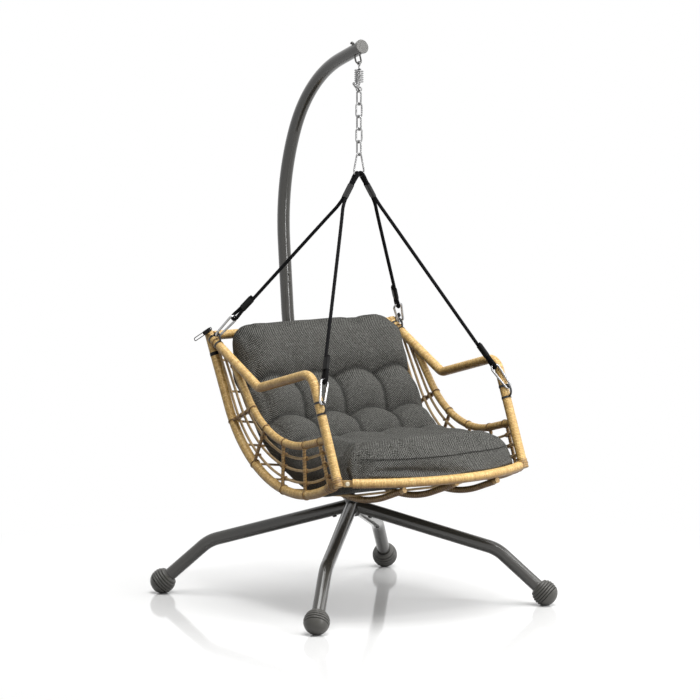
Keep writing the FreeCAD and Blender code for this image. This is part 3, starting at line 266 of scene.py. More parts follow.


# %% [markdown]
# ## Rope slings
# Each side hangs on one black rope: an eye on the rear hook, up to an eye in the top hook, and down to
# an eye on the front hook. The route is one smooth spline through the listed control points. The rope
# is braided, so its surface rises and falls along two crossing sets of helices.

# %% Sling route and braid
ROPE_RADIUS = 0.006
BRAID_PITCH = 0.016
BRAID_DEPTH = 0.07
ROPE_COLUMNS = 24
ROPE_ROWS_PER_PITCH = 8
SLING_FLAT = (0.86, 0.1, -0.5)
SLING_POINTS = np.array([
    (-0.2929, 0.2252, 1.0465), (-0.3230, 0.2529, 1.0026), (-0.3436, 0.2774, 0.9761),
    (-0.3440, 0.2558, 0.9629), (-0.3232, 0.2425, 0.9962), (-0.2931, 0.2148, 1.0401),
    (-0.2627, 0.1885, 1.0846), (-0.1017, 0.0488, 1.3209), (-0.0690, 0.0176, 1.3685),
    (-0.0282, 0.0176, 1.4338), (-0.0070, 0.0225, 1.4676), (-0.0070, 0.0005, 1.4676),
    (-0.0282, 0.0054, 1.4338), (-0.0690, 0.0054, 1.3685), (-0.0949, -0.0241, 1.3159),
    (-0.2865, -0.2180, 0.9367), (-0.3111, -0.2429, 0.8880), (-0.3355, -0.2689, 0.8397),
    (-0.3534, -0.2807, 0.8043), (-0.3486, -0.3036, 0.8140), (-0.3332, -0.2799, 0.8444),
    (-0.3088, -0.2539, 0.8927)])


def rope_line(name, points):
    """Points read from an open order-3 NURBS spline through the control points."""
    curve = bpy.data.curves.new(name, "CURVE")
    curve.dimensions = "3D"
    curve.resolution_u = 24
    spline = curve.splines.new("NURBS")
    spline.points.add(len(points) - 1)
    spline.points.foreach_set("co", np.c_[points, np.ones(len(points))].ravel())
    spline.order_u = 3
    spline.use_endpoint_u = True
    carrier = bpy.data.objects.new(name, curve)
    mesh = bpy.data.meshes.new_from_object(carrier)
    line = np.empty(len(mesh.vertices) * 3)
    mesh.vertices.foreach_get("co", line)
    bpy.data.meshes.remove(mesh)
    bpy.data.objects.remove(carrier)
    bpy.data.curves.remove(curve)
    return line.reshape(-1, 3)


def braided_rope(name, line, flat):
    """A round tube whose radius dips where neither of two crossing helices has a strand on top.

    Each set has four strands: |sin(2 a + pi s / pitch)| and |sin(2 a - pi s / pitch)|, the larger counts.
    """
    points, places = evenly(line, BRAID_PITCH / ROPE_ROWS_PER_PITCH)
    _, side, up = cross_directions(points, flat)
    angle, outward = ring(ROPE_COLUMNS, side, up)
    slant = np.pi * places[:, None] / BRAID_PITCH
    strand = np.maximum(np.abs(np.sin(2 * angle + slant)), np.abs(np.sin(2 * angle - slant)))
    radius = ROPE_RADIUS * (1 - BRAID_DEPTH + BRAID_DEPTH * strand ** 0.8)
    grid = points[:, None] + radius[..., None] * outward
    return grid_piece(name, grid, (4.0, places[-1] / BRAID_PITCH), {"strand": strand}), points, places[-1]


slings = []
for side_name, sign in (("left", 1.0), ("right", -1.0)):
    mirror = np.array([sign, 1.0, 1.0])
    route = rope_line("sling_route_" + side_name, SLING_POINTS * mirror)
    rope, rope_points, rope_length = braided_rope("sling_braided_" + side_name, route,
                                                  np.array(SLING_FLAT) * mirror)
    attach(rope, "chair")
    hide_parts("sling_rope_" + side_name)
    slings.append(rope)
    print(rope.name, "length", round(float(rope_length), 4), "faces", len(rope.data.polygons))

# %% [markdown]
# The rope is black polyester: the strands shine a little, and painted shade darkens the dips between them.

# %% Rope finish
rope_black, shader = finish("rope_black", 0.7, Specular_IOR_Level=0.06)
fibre_uv = add(rope_black, "ShaderNodeTexCoord").outputs["UV"]
fibre_lay = add(rope_black, "ShaderNodeMapping", {"Vector": fibre_uv, "Scale": (10.0, 3.0, 1.0)})
fibre = noise(rope_black, fibre_lay.outputs["Vector"], 6.0, 4.0)
# Fibre tone, times painted shade that darkens the dips between strands.
fibre_and_dip_shade = maths(rope_black, "MULTIPLY", fibre, measured(rope_black, "strand"))
rope_colour_with_painted_shade = ramp(rope_black, fibre_and_dip_shade, [(0.2, (0.003, 0.003, 0.0034)), (0.65, (0.012, 0.012, 0.013))])
paint(rope_black, shader, rope_colour_with_painted_shade)
bump(rope_black, shader, fibre, 0.2, 0.0006)
coat(slings, rope_black)
print("rope finish on", len(slings), "slings")

# %% [markdown]
# ## Wound rails
# The basket's tubes are wound closely with flat synthetic cane, so they show fine rings all along. The
# winding is real geometry here: a tube whose radius rises and falls along a helix, one turn per strand
# width. It lies just over the solid tube. The lines are straight runs joined by round bends.

# %% Lines of the frame tubes
FRAME_X = 0.380
REAR_CORNER = (0.344, 0.905)
SEAT_KNEE = (0.0287, 0.2862)
FRONT_CORNER = (-0.423, 0.492)
ARM_FRONT = (-0.271, 0.840)
ARM_DIP = (0.042, 0.757)
INNER_TOP = (0.204, 0.833)
INNER_KNEE = (-0.036, 0.5441)
INNER_FRONT = (-0.362, 0.628)
SEAT_ROD_KNEE = (0.002, 0.288)
SEAT_ROD_BEND = 0.545
SEAT_ROD_FRONT = (-0.534, 0.467)
BAR_BOW_RADIUS = 0.58363
BAR_FRONT_Y = CHAIN_Y - 0.56104
BAR_Z = 0.4911
BAR_HALF = 0.341
SIDE_SEAT_ROD_X = 0.190
OUTER_BEND = 0.455
INNER_BEND = 0.340
ARM_BENDS = (0.055, 0.042)
TUBE_OVERRUN = 0.0138
LINE_STEP = 0.002
SIDES = (("left", -1.0), ("right", 1.0))


def hung(x, place):
    """A point of the basket from its distance behind the chain and its height."""
    return np.array([x, CHAIN_Y + place[0], place[1]])


def bent_line(points, radii):
    """Straight runs through the points, with a round bend of the given radius at each inner point."""
    stretches = [points[0][None]]
    for before, corner, after, radius in zip(points, points[1:], points[2:], radii):
        back = unit(before - corner)
        ahead = unit(after - corner)
        half = math.acos(float(np.clip(back @ ahead, -1, 1))) / 2
        inward = unit(back + ahead)
        centre = corner + inward * radius / math.sin(half)
        first = corner + back * radius / math.tan(half) - centre
        last = corner + ahead * radius / math.tan(half) - centre
        sweep = math.pi - 2 * half
        share = np.linspace(0, 1, max(int(sweep * radius / LINE_STEP), 4))[:, None]
        bend = (np.sin((1 - share) * sweep) * first + np.sin(share * sweep) * last) / math.sin(sweep)
        stretches.append(centre + bend)
    stretches.append(points[-1][None])
    return np.concatenate(stretches)


def cut_ends(line, start, end):
    """The line without its first and last stretches."""
    points, places = evenly(line, LINE_STEP)
    kept = (places >= start) & (places <= places[-1] - end)
    return points[kept]


def outer_line(x):
    """The outer rail, from a little past the rear corner, round the seat, to the front corner."""
    top, knee = hung(x, REAR_CORNER), hung(x, SEAT_KNEE)
    return bent_line([top + unit(top - knee) * TUBE_OVERRUN, knee, hung(x, FRONT_CORNER)], [OUTER_BEND])


def arm_line(x):
    """The upright from a little below the front corner, the arm, its dip and the run to the rear corner."""
    low = hung(x, FRONT_CORNER)
    foot = low - unit(hung(x, ARM_FRONT) - low) * TUBE_OVERRUN
    return bent_line([foot, hung(x, ARM_FRONT), hung(x, ARM_DIP), hung(x, REAR_CORNER)], ARM_BENDS)


def inner_line(x):
    """The inner rail below the arm: one bend."""
    return bent_line([hung(x, INNER_TOP), hung(x, INNER_KNEE), hung(x, INNER_FRONT)], [INNER_BEND])


def bow_ahead(x):
    """How far the bowed bar lies ahead of its place at the outer seat rods."""
    return (np.sqrt(np.clip(BAR_BOW_RADIUS ** 2 - x ** 2, 0, None))
            - math.sqrt(BAR_BOW_RADIUS ** 2 - SIDE_SEAT_ROD_X ** 2))


def seat_rod_line(x):
    """A long rod under the seat, down the back and forward to the bowed bar."""
    knee, front = hung(x, SEAT_ROD_KNEE), hung(x, SEAT_ROD_FRONT)
    return bent_line([hung(x, REAR_CORNER), knee, front + unit(front - knee) * bow_ahead(x)], [SEAT_ROD_BEND])


def front_bar_line():
    """The bowed bar: an arc in plan round a centre behind it."""
    turn = math.asin(BAR_HALF / BAR_BOW_RADIUS)
    angle = np.linspace(-turn, turn, 400)
    return np.stack([BAR_BOW_RADIUS * np.sin(angle),
                     BAR_FRONT_Y + BAR_BOW_RADIUS * (1 - np.cos(angle)), np.full(angle.shape, BAR_Z)], axis=1)


print("outer rail", round(evenly(outer_line(FRAME_X), LINE_STEP)[1][-1], 3), "m")

# %% [markdown]
# The helix gives each point three measures, which become attributes: how high it lies on its strand, which
# turn it is on, and how far it faces up. The material shades the winding by them: painted shade in the
# grooves and on the undersides.

# %% Winding
STRAND = 0.0054
STRAND_RISE = 0.0008
STRAND_CLEAR = 0.00012
UPWARD = (0.0, 0.0, 1.0)
SIDEWAYS = (1.0, 0.0, 0.0)


def wound_tube(name, line, radius, flat, strand=STRAND, rise=STRAND_RISE, around=18, samples=5):
    """A tube whose radius is the core plus rise times the rounded ridge of a helix, one strand wide.

    The ridge is |sin| of pi times the turn number s / strand - angle / (2 pi), to the power 0.6.
    """
    points, places = evenly(line, strand / samples)
    _, side, up = cross_directions(points, flat)
    angle, outward = ring(around, side, up)
    turns = places[:, None] / strand - angle[None, :] / (2 * np.pi)
    ridge = np.abs(np.sin(np.pi * turns)) ** 0.6
    reach = radius + STRAND_CLEAR + rise * ridge
    grid = points[:, None] + reach[..., None] * outward
    piece = grid_piece(name, grid, (1.0, places[-1] / strand),
                       {"ridge": ridge, "turn": np.floor(turns), "faces_up": outward[..., 2]})
    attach(piece, "chair")
    return piece


RAIL = 0.015
INNER_RAIL = 0.012
SEAT_ROD = 0.009
REAR_BAR_HALF = FRAME_X - 0.0155
RAIL_RUNS = (  # rail, its line, bare lengths at its start and end, its radius
    ("outer_rail", outer_line, 0.0, 0.014, RAIL),
    ("arm_rail", arm_line, 0.0, 0.012, RAIL),
    ("inner_rail", inner_line, 0.012, 0.012, INNER_RAIL))
wound = []
for side_name, sign in SIDES:
    for rail, rail_line, start, end, radius in RAIL_RUNS:
        bare = cut_ends(rail_line(sign * FRAME_X), start, end)
        wound.append(wound_tube(rail + "_winding_" + side_name, bare, radius, SIDEWAYS))
wound.append(wound_tube("front_bar_winding", front_bar_line(), RAIL, UPWARD))
rear_line = np.array([hung(-REAR_BAR_HALF, REAR_CORNER), hung(REAR_BAR_HALF, REAR_CORNER)])
wound.append(wound_tube("rear_bar_winding", rear_line, RAIL, UPWARD))
print("rail windings", len(wound), "faces", sum(len(p.data.polygons) for p in wound))

# %% [markdown]
# ## Coarse windings
# The rods under the seat carry a thicker strand, and the five ribs on each side are twisted cane. The
# same helix does both, with a wider strand. The front corners, where three tubes meet, get a coarse wrap.

# %% Rods, ribs and corner wraps
RIB = 0.005
RIB_X = FRAME_X + 0.0051
SIDE_ROD_X = FRAME_X - 0.0046
RIB_INNER_SHARES = np.array([0.294, 0.442, 0.618, 0.802, 0.939])
RIB_OUTER_SHARES = np.array([0.317, 0.500, 0.682, 0.813, 0.955])
WRAP = RAIL + 0.0009
WRAP_RISE = 0.0014
CORNER_WRAP_POINTS = 22
FOOT_WRAP_POINTS = 16


def at_shares(line, shares):
    """Points of a line at shares of its length."""
    points, places = evenly(line, 0.001)
    return read_line(shares * places[-1], places, points)


coarse = []
for place, x in (("left", -SIDE_SEAT_ROD_X), ("middle", 0.0), ("right", SIDE_SEAT_ROD_X)):
    coarse.append(wound_tube("seat_rod_winding_" + place, cut_ends(seat_rod_line(x), 0.013, 0.020), SEAT_ROD,
                             SIDEWAYS, strand=0.011, rise=0.0021, around=14, samples=7))
rib_ends = {}
for side_name, sign in SIDES:
    tops = at_shares(inner_line(sign * FRAME_X), RIB_INNER_SHARES)
    feet = at_shares(outer_line(sign * FRAME_X), RIB_OUTER_SHARES)
    rib_ends[side_name] = (tops, feet)
    twisted = []
    for top, foot in zip(tops, feet):
        line = np.stack([top, foot])
        line[:, 0] = sign * RIB_X
        twisted.append(wound_tube("rib", cut_ends(line, 0.011, 0.014), RIB, SIDEWAYS, strand=0.010,
                                  rise=0.0013, around=12, samples=8))
    coarse.append(join_pieces("rib_twist_" + side_name, twisted))
    corner = evenly(cut_ends(outer_line(sign * FRAME_X), 0.0, 0.016), LINE_STEP)[0][-CORNER_WRAP_POINTS:]
    coarse.append(wound_tube("corner_wrap_" + side_name, corner, WRAP, SIDEWAYS, strand=0.009,
                             rise=WRAP_RISE, samples=8))
    foot_wrap = cut_ends(arm_line(sign * FRAME_X), 0.0, 0.0)[:FOOT_WRAP_POINTS]
    coarse.append(wound_tube("foot_wrap_" + side_name, foot_wrap, WRAP, SIDEWAYS, strand=0.008,
                             rise=WRAP_RISE, samples=8))
print("coarse windings", len(coarse), "faces", sum(len(p.data.polygons) for p in coarse))

# %% [markdown]
# ## Lashings
# Thin cane cord ties each rib to the rails and to the three long rods that it crosses. A lashing is a
# short helix on an oval, about two turns, drawn as a tube. One function makes each from its middle, the
# direction it travels in, and the two half-axes of its oval.

# %% Lashings on ribs and rails
LASH_CORD = 0.0013
LASH_TURNS = 2.3
LASH_DRIFT = 0.0058
LASH_POINTS_PER_TURN = 22
LASH_COLUMNS = 7
ROD_LASH_HALF = (0.0122, 0.0082)
KNOT_HALF = (0.0182, 0.0205)
KNOT_SHIFTS = (0.012, 0.026, 0.004)
KNOT_RISE = 0.004
KNOT_DRIFT = 0.012
KNOT_CORD = 0.0019
INNER_TOP_TIE = 0.03
ARM_REAR_TIE = 0.957
SIDE_ROD_SHARES = (0.25, 0.5, 0.75)


def lashing(middle, travel, half_a, half_b, drift=LASH_DRIFT, cord=LASH_CORD):
    """A tube along middle + cos(t) half_a + sin(t) half_b + travel times an even drift, over the turns."""
    turn = np.linspace(0, 2 * np.pi * LASH_TURNS, int(LASH_TURNS * LASH_POINTS_PER_TURN))[:, None]
    line = (middle + np.cos(turn) * half_a + np.sin(turn) * half_b
            + travel * drift * (turn / turn[-1] - 0.5))
    _, side, out = cross_directions(line, travel)
    _, outward = ring(LASH_COLUMNS, side, out)
    grid = line[:, None] + cord * outward
    return grid_piece("lash", grid, (1.0, LASH_TURNS * 8))


def rail_lash(line, share, radius):
    """A lashing round a rail at a share of its length."""
    points, places = evenly(line, 0.001)
    tangent, side, up = cross_directions(points, SIDEWAYS)
    k = int(np.clip(round(share * (len(points) - 1)), 1, len(points) - 2))
    reach = radius + STRAND_RISE + LASH_CORD * 0.7
    return lashing(points[k], tangent[k], side[k] * reach, up[k] * reach)


def side_rod_line(x, share):
    """One of the three long rods between the inner and the outer rail."""
    spans = ((INNER_TOP, REAR_CORNER), (INNER_KNEE, SEAT_KNEE), (INNER_FRONT, FRONT_CORNER))
    corners = [hung(x, np.array(a) + (np.array(b) - np.array(a)) * share) for a, b in spans]
    return bent_line(corners, [INNER_BEND + (OUTER_BEND - INNER_BEND) * share])


def rod_lash(rod_points, top, foot, sign):
    """A lashing where a rib crosses a rod: the rod's point nearest to the rib's line."""
    along = unit((foot - top)[1:])
    offset = rod_points[:, 1:] - top[1:]
    away = np.abs(offset[:, 0] * along[1] - offset[:, 1] * along[0])
    k = int(np.clip(np.argmin(away), 1, len(rod_points) - 2))
    heading = unit(rod_points[k + 1] - rod_points[k - 1])
    rib_heading = unit(np.array([0.0, *(foot - top)[1:]]))
    travel = unit(heading + rib_heading * (1.0 if heading @ rib_heading >= 0 else -1.0))
    across = np.cross(travel, np.array(SIDEWAYS))
    middle = np.array([sign * (RIB_X + SIDE_ROD_X) / 2, *rod_points[k, 1:]])
    return lashing(middle, travel, np.array(SIDEWAYS) * ROD_LASH_HALF[0], across * ROD_LASH_HALF[1])


def corner_knot(x):
    """Three slanting lashings where the upright's foot and the outer rail meet."""
    corner = hung(x, FRONT_CORNER)
    rise = unit(hung(x, ARM_FRONT) - corner)
    back = unit(hung(x, SEAT_KNEE) - corner)
    across = np.array(SIDEWAYS)
    turned = (unit(rise + back), unit(rise * 0.35 + back), unit(rise - back * 0.55))
    return [lashing(corner + back * shift + rise * KNOT_RISE, travel, across * KNOT_HALF[0],
                    np.cross(travel, across) * KNOT_HALF[1], KNOT_DRIFT, KNOT_CORD)
            for travel, shift in zip(turned, KNOT_SHIFTS)]


ties = []
for side_name, sign in SIDES:
    tops, feet = rib_ends[side_name]
    x = sign * FRAME_X
    knots = [rail_lash(inner_line(x), share, INNER_RAIL) for share in RIB_INNER_SHARES]
    knots += [rail_lash(outer_line(x), share, RAIL) for share in RIB_OUTER_SHARES]
    knots.append(rail_lash(inner_line(x), INNER_TOP_TIE, INNER_RAIL))
    knots.append(rail_lash(arm_line(x), ARM_REAR_TIE, RAIL))
    for share in SIDE_ROD_SHARES:
        rod_points = evenly(side_rod_line(sign * SIDE_ROD_X, share), 0.001)[0]
        knots += [rod_lash(rod_points, top, foot, sign) for top, foot in zip(tops, feet)]
    knots += corner_knot(x)
    tie = join_pieces("cane_ties_" + side_name, knots)
    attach(tie, "chair")
    ties.append(tie)
    print(tie.name, "lashings", len(knots), "faces", len(tie.data.polygons))

# %% [markdown]
# Near the rear corners a black band closes the end of each outer rail's winding.

# %% Rail bands
BAND_START_MM, BAND_END_MM = 76, 89
bands = []
for side_name, sign in SIDES:
    short = evenly(outer_line(sign * FRAME_X), 0.001)[0][BAND_START_MM:BAND_END_MM]
    band = wound_tube("rail_band_" + side_name, short, WRAP, SIDEWAYS, strand=0.004, rise=0.0006)
    bands.append(band)
print("rail bands", len(bands))

# %% [markdown]
# ## Cane finish
# Synthetic cane has long fine grain, and no two turns have quite the same tan. Painted shade darkens the
# grooves between turns. The winding's own attributes tell the material which turn a point is on and how deep
# it lies, and painted shade darkens the undersides. One function makes the fine winding of the rails and the
# coarse one, and a plainer one makes the tubes' cores, the rods and the ties.

# %% Cane
GRAIN_LAY = (5.0, 6.0, 1.0)
UNDERSIDE_PAINTED_SHADE = [(0.20, (0.40, 0.34, 0.28)), (0.52, (0.88, 0.86, 0.83)), (0.78, (1.0, 1.0, 1.0))]
WOUND_SHADES = ((0.40, 0.215, 0.060), (0.78, 0.500, 0.172), (0.97, 0.740, 0.330))
COARSE_SHADES = ((0.20, 0.105, 0.032), (0.44, 0.265, 0.092), (0.72, 0.490, 0.205))


def cane_finish(name, shades, groove_painted_dark):
    """Tan strands: each turn has its own shade, with grain, and painted shade in the grooves and on the
    undersides.
    """
    material, shader = finish(name, 0.40, Specular_IOR_Level=0.5)
    turn_noise = add(material, "ShaderNodeTexWhiteNoise", {"W": measured(material, "turn")},
                     noise_dimensions="1D")
    strand_uv = add(material, "ShaderNodeTexCoord").outputs["UV"]
    lay = add(material, "ShaderNodeMapping", {"Vector": strand_uv, "Scale": GRAIN_LAY})
    grain = noise(material, lay.outputs["Vector"], 3.0, 4.0, 0.65)
    blotch = noise(material, object_place(material), 130.0, 4.0, 0.75)
    calm = ranged(material, turn_noise.outputs["Value"], {"To Min": 0.40, "To Max": 0.60})
    mixed = maths(material, "ADD", maths(material, "ADD", calm, grain), blotch)
    colour = ramp(material, maths(material, "MULTIPLY", mixed, 0.333), list(zip((0.41, 0.5, 0.59), shades)))
    ridge = measured(material, "ridge")
    # Painted shade: the grooves between turns darken by how low a point lies on its strand.
    groove_painted_shade = ramp(material, ridge, [(0.10, (groove_painted_dark,) * 3), (0.70, (1.0, 1.0, 1.0))])
    # Painted shade: the undersides darken by how far they face down.
    upness = ranged(material, measured(material, "faces_up"), {"From Min": -1.0, "From Max": 1.0})
    underside_painted_shade = ramp(material, upness, UNDERSIDE_PAINTED_SHADE)
    paint(material, shader, times(material, times(material, colour, groove_painted_shade), underside_painted_shade))
    bump(material, shader, grain, 0.35, 0.0004)
    return material


cane = cane_finish("cane_wound", WOUND_SHADES, groove_painted_dark=0.34)
cane_coarse = cane_finish("cane_coarse", COARSE_SHADES, groove_painted_dark=0.05)
coat(wound, cane)
coat(coarse, cane_coarse)


def cane_plain(name, dark, light, scale):
    """Plain cane: mottled tan with fine grain on object coordinates."""
    material, shader = finish(name, 0.5, Specular_IOR_Level=0.35)
    spot = object_place(material)
    fine = noise(material, spot, scale, 4.0, 0.65)
    broad = noise(material, spot, scale / 8, 2.0)
    half = maths(material, "MULTIPLY", maths(material, "ADD", fine, broad), 0.5)
    paint(material, shader, ramp(material, half, [(0.35, dark), (0.65, light)]))
    bump(material, shader, fine, 0.4, 0.0006)
    return material


cane_core = cane_plain("cane_core", (0.36, 0.215, 0.085), (0.62, 0.43, 0.20), 160.0)
cane_rods = cane_plain("cane_rods", (0.36, 0.235, 0.110), (0.62, 0.455, 0.250), 220.0)
cane_tie = cane_plain("cane_tie", (0.13, 0.070, 0.022), (0.36, 0.215, 0.085), 260.0)
CORE_STARTS = ("outer_rail", "arm_rail", "inner_rail", "front_bar", "rear_bar", "seat_rod", "side_ribs")
dress([n for n in nodes if n.startswith(CORE_STARTS) and n != "front_bar_bolts"], cane_core)
dress([n for n in nodes if n.startswith(("side_rods", "cross_rods"))], cane_rods)
coat(ties, cane_tie)
print("cane finishes", len([m for m in bpy.data.materials if m.name.startswith("cane")]))

# %% [markdown]
# ## Cushion
# One quilted cushion covers the back and the seat. It is a closed form: a profile with a flat underside,
# rounded sides and pillows between three columns of tufts, carried along the seat rods. The pillows meet
# in sharp valleys. Air pressure in a cloth simulation then fills them, while the tufts and the underside
# stay where they are.

# %% Cushion form
TUFT_COLUMN = 0.168
OUTER_CROWN = 1.5 * TUFT_COLUMN
CUSHION_HALF = 0.350
CUSHION_REST = 0.0178
CUSHION_STATIONS = 170
CUSHION_COLUMNS = 74
SIDE_ROUND = 0.028
SIDE_STEPS = 16
PILLOW_POWER = 0.6
TOP_CORNER = 0.090
FRONT_CORNER_ROUND = 0.030
SAG_FROM = 0.206
SAG_SHARE = 0.56
SAG_CLEAR = 0.013
SAG_SPAN = (0.05, 0.18, 0.66, 0.84)
VALLEY_ARCH = 0.022
ARCH_SPAN = (0.12, 0.19, 0.61, 0.68)
CREASE_DEPTH, CREASE_X, CREASE_WIDTH, CREASE_LENGTH = 0.009, 0.150, 0.016, 0.12
BOW_FROM = 0.80
BOW_BACK = 0.012
BAR_CLEAR = RAIL + 0.0018
ROUTE_STEP = 0.003
CUSHION_ROWS = np.array([  # distance along the seat rods, heights of crown, tuft and side, 1 where it is sewn
    (-0.020, 0.0458, 0.0442, 0.0411, 0), (0.0101, 0.0853, 0.0822, 0.0727, 0),
    (0.0750, 0.1217, 0.1185, 0.0916, 0), (0.1613, 0.1201, 0.1122, 0.0901, 0),
    (0.2240, 0.0869, 0.0600, 0.0569, 1), (0.3024, 0.1296, 0.0995, 0.0916, 0),
    (0.4032, 0.0869, 0.0553, 0.0569, 1), (0.4760, 0.1296, 0.1011, 0.0916, 0),
    (0.5600, 0.0916, 0.0616, 0.0695, 1), (0.6608, 0.1454, 0.1359, 0.1264, 0),
    (0.8344, 0.1612, 0.1580, 0.1517, 0), (0.9968, 0.1533, 0.1517, 0.1422, 0),
    (1.0850, 0.1400, 0.1390, 0.1320, 0), (1.1500, 0.0930, 0.0915, 0.0850, 0)])


def eased(places, column):
    """Heights between the table's rows: level at plain rows, and a sharp valley at sewn rows.

    The ease is (1 - cos(pi t)) / 2 between plain rows, and sin(pi t / 2) ** 0.7 counted from a sewn row.
    """
    table = CUSHION_ROWS
    row = np.clip(np.searchsorted(table[:, 0], places) - 1, 0, len(table) - 2)
    share = np.clip((places - table[row, 0]) / (table[row + 1, 0] - table[row, 0]), 0, 1)
    ease = (1 - np.cos(np.pi * share)) / 2
    ease = np.where(table[row, 4] > 0, np.sin(np.pi * share / 2) ** 0.7, ease)
    ease = np.where(table[row + 1, 4] > 0, 1 - np.sin(np.pi * (1 - share) / 2) ** 0.7, ease)
    return table[row, column] + (table[row + 1, column] - table[row, column]) * ease


def faded(value, span):
    """0 outside the span, 1 in its middle, and even slopes between its first two and its last two values."""
    start, full, last, end = span
    return np.clip(np.minimum((value - start) / (full - start), (end - value) / (end - last)), 0, 1)


def arched(places, x):
    """Places moved on by |sin(pi x / column)| between the tufts, so that the valleys arch up there."""
    return places + VALLEY_ARCH * np.abs(np.sin(np.pi * x / TUFT_COLUMN)) * faded(places, ARCH_SPAN)


def cushion_route(extra_top=0.0, extra_front=0.0):
    """The middle line that the cushion lies along, with straight lengths added at its ends."""
    top, knee, front = hung(0, REAR_CORNER), hung(0, SEAT_ROD_KNEE), hung(0, SEAT_ROD_FRONT)
    start = top + unit(top - knee) * extra_top
    end = front + unit(front - knee) * extra_front
    return evenly(bent_line([start, knee, end], [SEAT_ROD_BEND]), ROUTE_STEP)


def edge_sag(line, places, length):
    """How far the edges hang below the middle: a share of the gap to the outer rails, eased in and out."""
    rail = outer_line(0.0)[:, 1:]
    spots = read_line(places, np.linspace(0, length, len(line)), line, (1, 2))
    away = np.sqrt(((spots[:, None] - rail[None]) ** 2).sum(-1)).min(axis=1)
    return SAG_SHARE * (away + SAG_CLEAR) * (1 - np.cos(np.pi * faded(places / length, SAG_SPAN))) / 2


def rounded_corner(gap, radius):
    """How far a corner draws in, at a distance from the end: a quarter circle."""
    share = np.clip(1 - gap / radius, 0, 1)
    return radius * (1 - np.sqrt(1 - share ** 2))


print("cushion rows", len(CUSHION_ROWS), "route", round(float(cushion_route()[1][-1]), 3), "m")

# %% [markdown]
# The profile is first laid out flat: how far across and how high each column lies, at each row. Then every
# row is carried to its place on the seat rods. At the front it follows the bowed bar and stays clear of it.

# %% Cushion surface
def cushion_grid(inset):
    """Rows along the seat rods, columns round the profile: underside, right side, pillows, left side."""
    line, reach = cushion_route()
    first, last = CUSHION_ROWS[0, 0] + inset, CUSHION_ROWS[-1, 0] - inset
    places = np.linspace(first, last, CUSHION_STATIONS)
    edge = eased(places, 3) - inset
    half = (CUSHION_HALF - inset - rounded_corner(places - first, TOP_CORNER)
            - rounded_corner(last - places, FRONT_CORNER_ROUND))
    flat_half = (half - SIDE_ROUND)[:, None]
    flat_x = flat_half * np.linspace(-1, 1, CUSHION_COLUMNS)[None]
    crown, tuft, brim = (eased(arched(places[:, None], flat_x), column) - inset for column in (1, 2, 3))
    pillow = np.abs(np.sin(np.pi * flat_x / TUFT_COLUMN)) ** PILLOW_POWER
    beyond = np.abs(flat_x) - OUTER_CROWN
    edge_share = np.clip(beyond / np.maximum(flat_half - OUTER_CROWN, 1e-4), 0, 1)
    outside = beyond > 0
    pillow = np.where(outside, np.cos(edge_share * np.pi / 2) ** PILLOW_POWER, pillow)
    low = np.where(outside, brim, tuft)
    top = low + (crown - low) * pillow
    crease = CREASE_DEPTH * np.exp(-((flat_x - CREASE_X) / CREASE_WIDTH) ** 2)
    top -= crease * np.clip(1 - places / CREASE_LENGTH, 0, 1)[:, None]
    sag = edge_sag(line, places, reach[-1])[:, None]
    sag_run = CUSHION_HALF - inset - SIDE_ROUND - SAG_FROM
    under = -sag * np.clip((np.abs(flat_x) - SAG_FROM) / sag_run, 0, 1)
    arc = np.linspace(0, np.pi, SIDE_STEPS)[1:-1]
    right_x = flat_half + SIDE_ROUND * np.sin(arc)[None]
    right_up = -sag + (edge[:, None] + sag) * (1 - np.cos(arc))[None] / 2
    x = np.concatenate([flat_x, right_x, flat_x[:, ::-1], -right_x[:, ::-1]], axis=1)
    up = np.concatenate([under, right_up, top[:, ::-1], right_up[:, ::-1]], axis=1) + CUSHION_REST + inset
    bow = np.clip((places - BOW_FROM) / (last - BOW_FROM), 0, 1)[:, None] ** 1.5
    along = places[:, None] + (bow_ahead(x) - BOW_BACK) * bow
    inside = np.clip(along, 0, reach[-1])
    spot = read_line(inside, reach, line, (1, 2))
    head = read_line(inside, reach, headings(line), (1, 2))
    spot = spot + head * (along - inside)[..., None]
    grid = np.stack([x, spot[..., 0] + head[..., 1] * up, spot[..., 1] - head[..., 0] * up], axis=-1)
    return lift_over_bar(grid)


def lift_over_bar(grid):
    """Points in the front bar's space move out of it, and none in front of it hang below its top."""
    from_centre = np.hypot(grid[..., 0], grid[..., 1] - (BAR_FRONT_Y + BAR_BOW_RADIUS))
    offset = from_centre - BAR_BOW_RADIUS
    over = BAR_Z + np.sqrt(np.clip(BAR_CLEAR ** 2 - offset ** 2, 0, None))
    lowest = np.where(offset > 0, BAR_Z + BAR_CLEAR, over)
    lifted = grid.copy()
    lifted[..., 2] = np.where(offset > -BAR_CLEAR, np.maximum(grid[..., 2], lowest), grid[..., 2])
    return lifted


PUFF = 0.010
cushion = grid_piece("cushion_quilted", cushion_grid(PUFF))
print("cushion grid", len(cushion.data.vertices), "points")

# %% [markdown]
# For the air, the form gets an even net of small faces. The points that the air may not move are found by
# their place: along the seat rods, above them, and away from the tufts and the valleys.

# %% Cushion filled with air
TOP_EXTRA, FRONT_EXTRA = 0.06, 0.12
CHUNK = 4000
HELD_UNDER, HELD_TUFT, HELD_VALLEY, HELD_ACROSS = 0.012, 0.012, 0.0045, 0.325
AIR_PRESSURE = 4.0
AIR_FRAMES = 20
AIR_REACH = 0.022


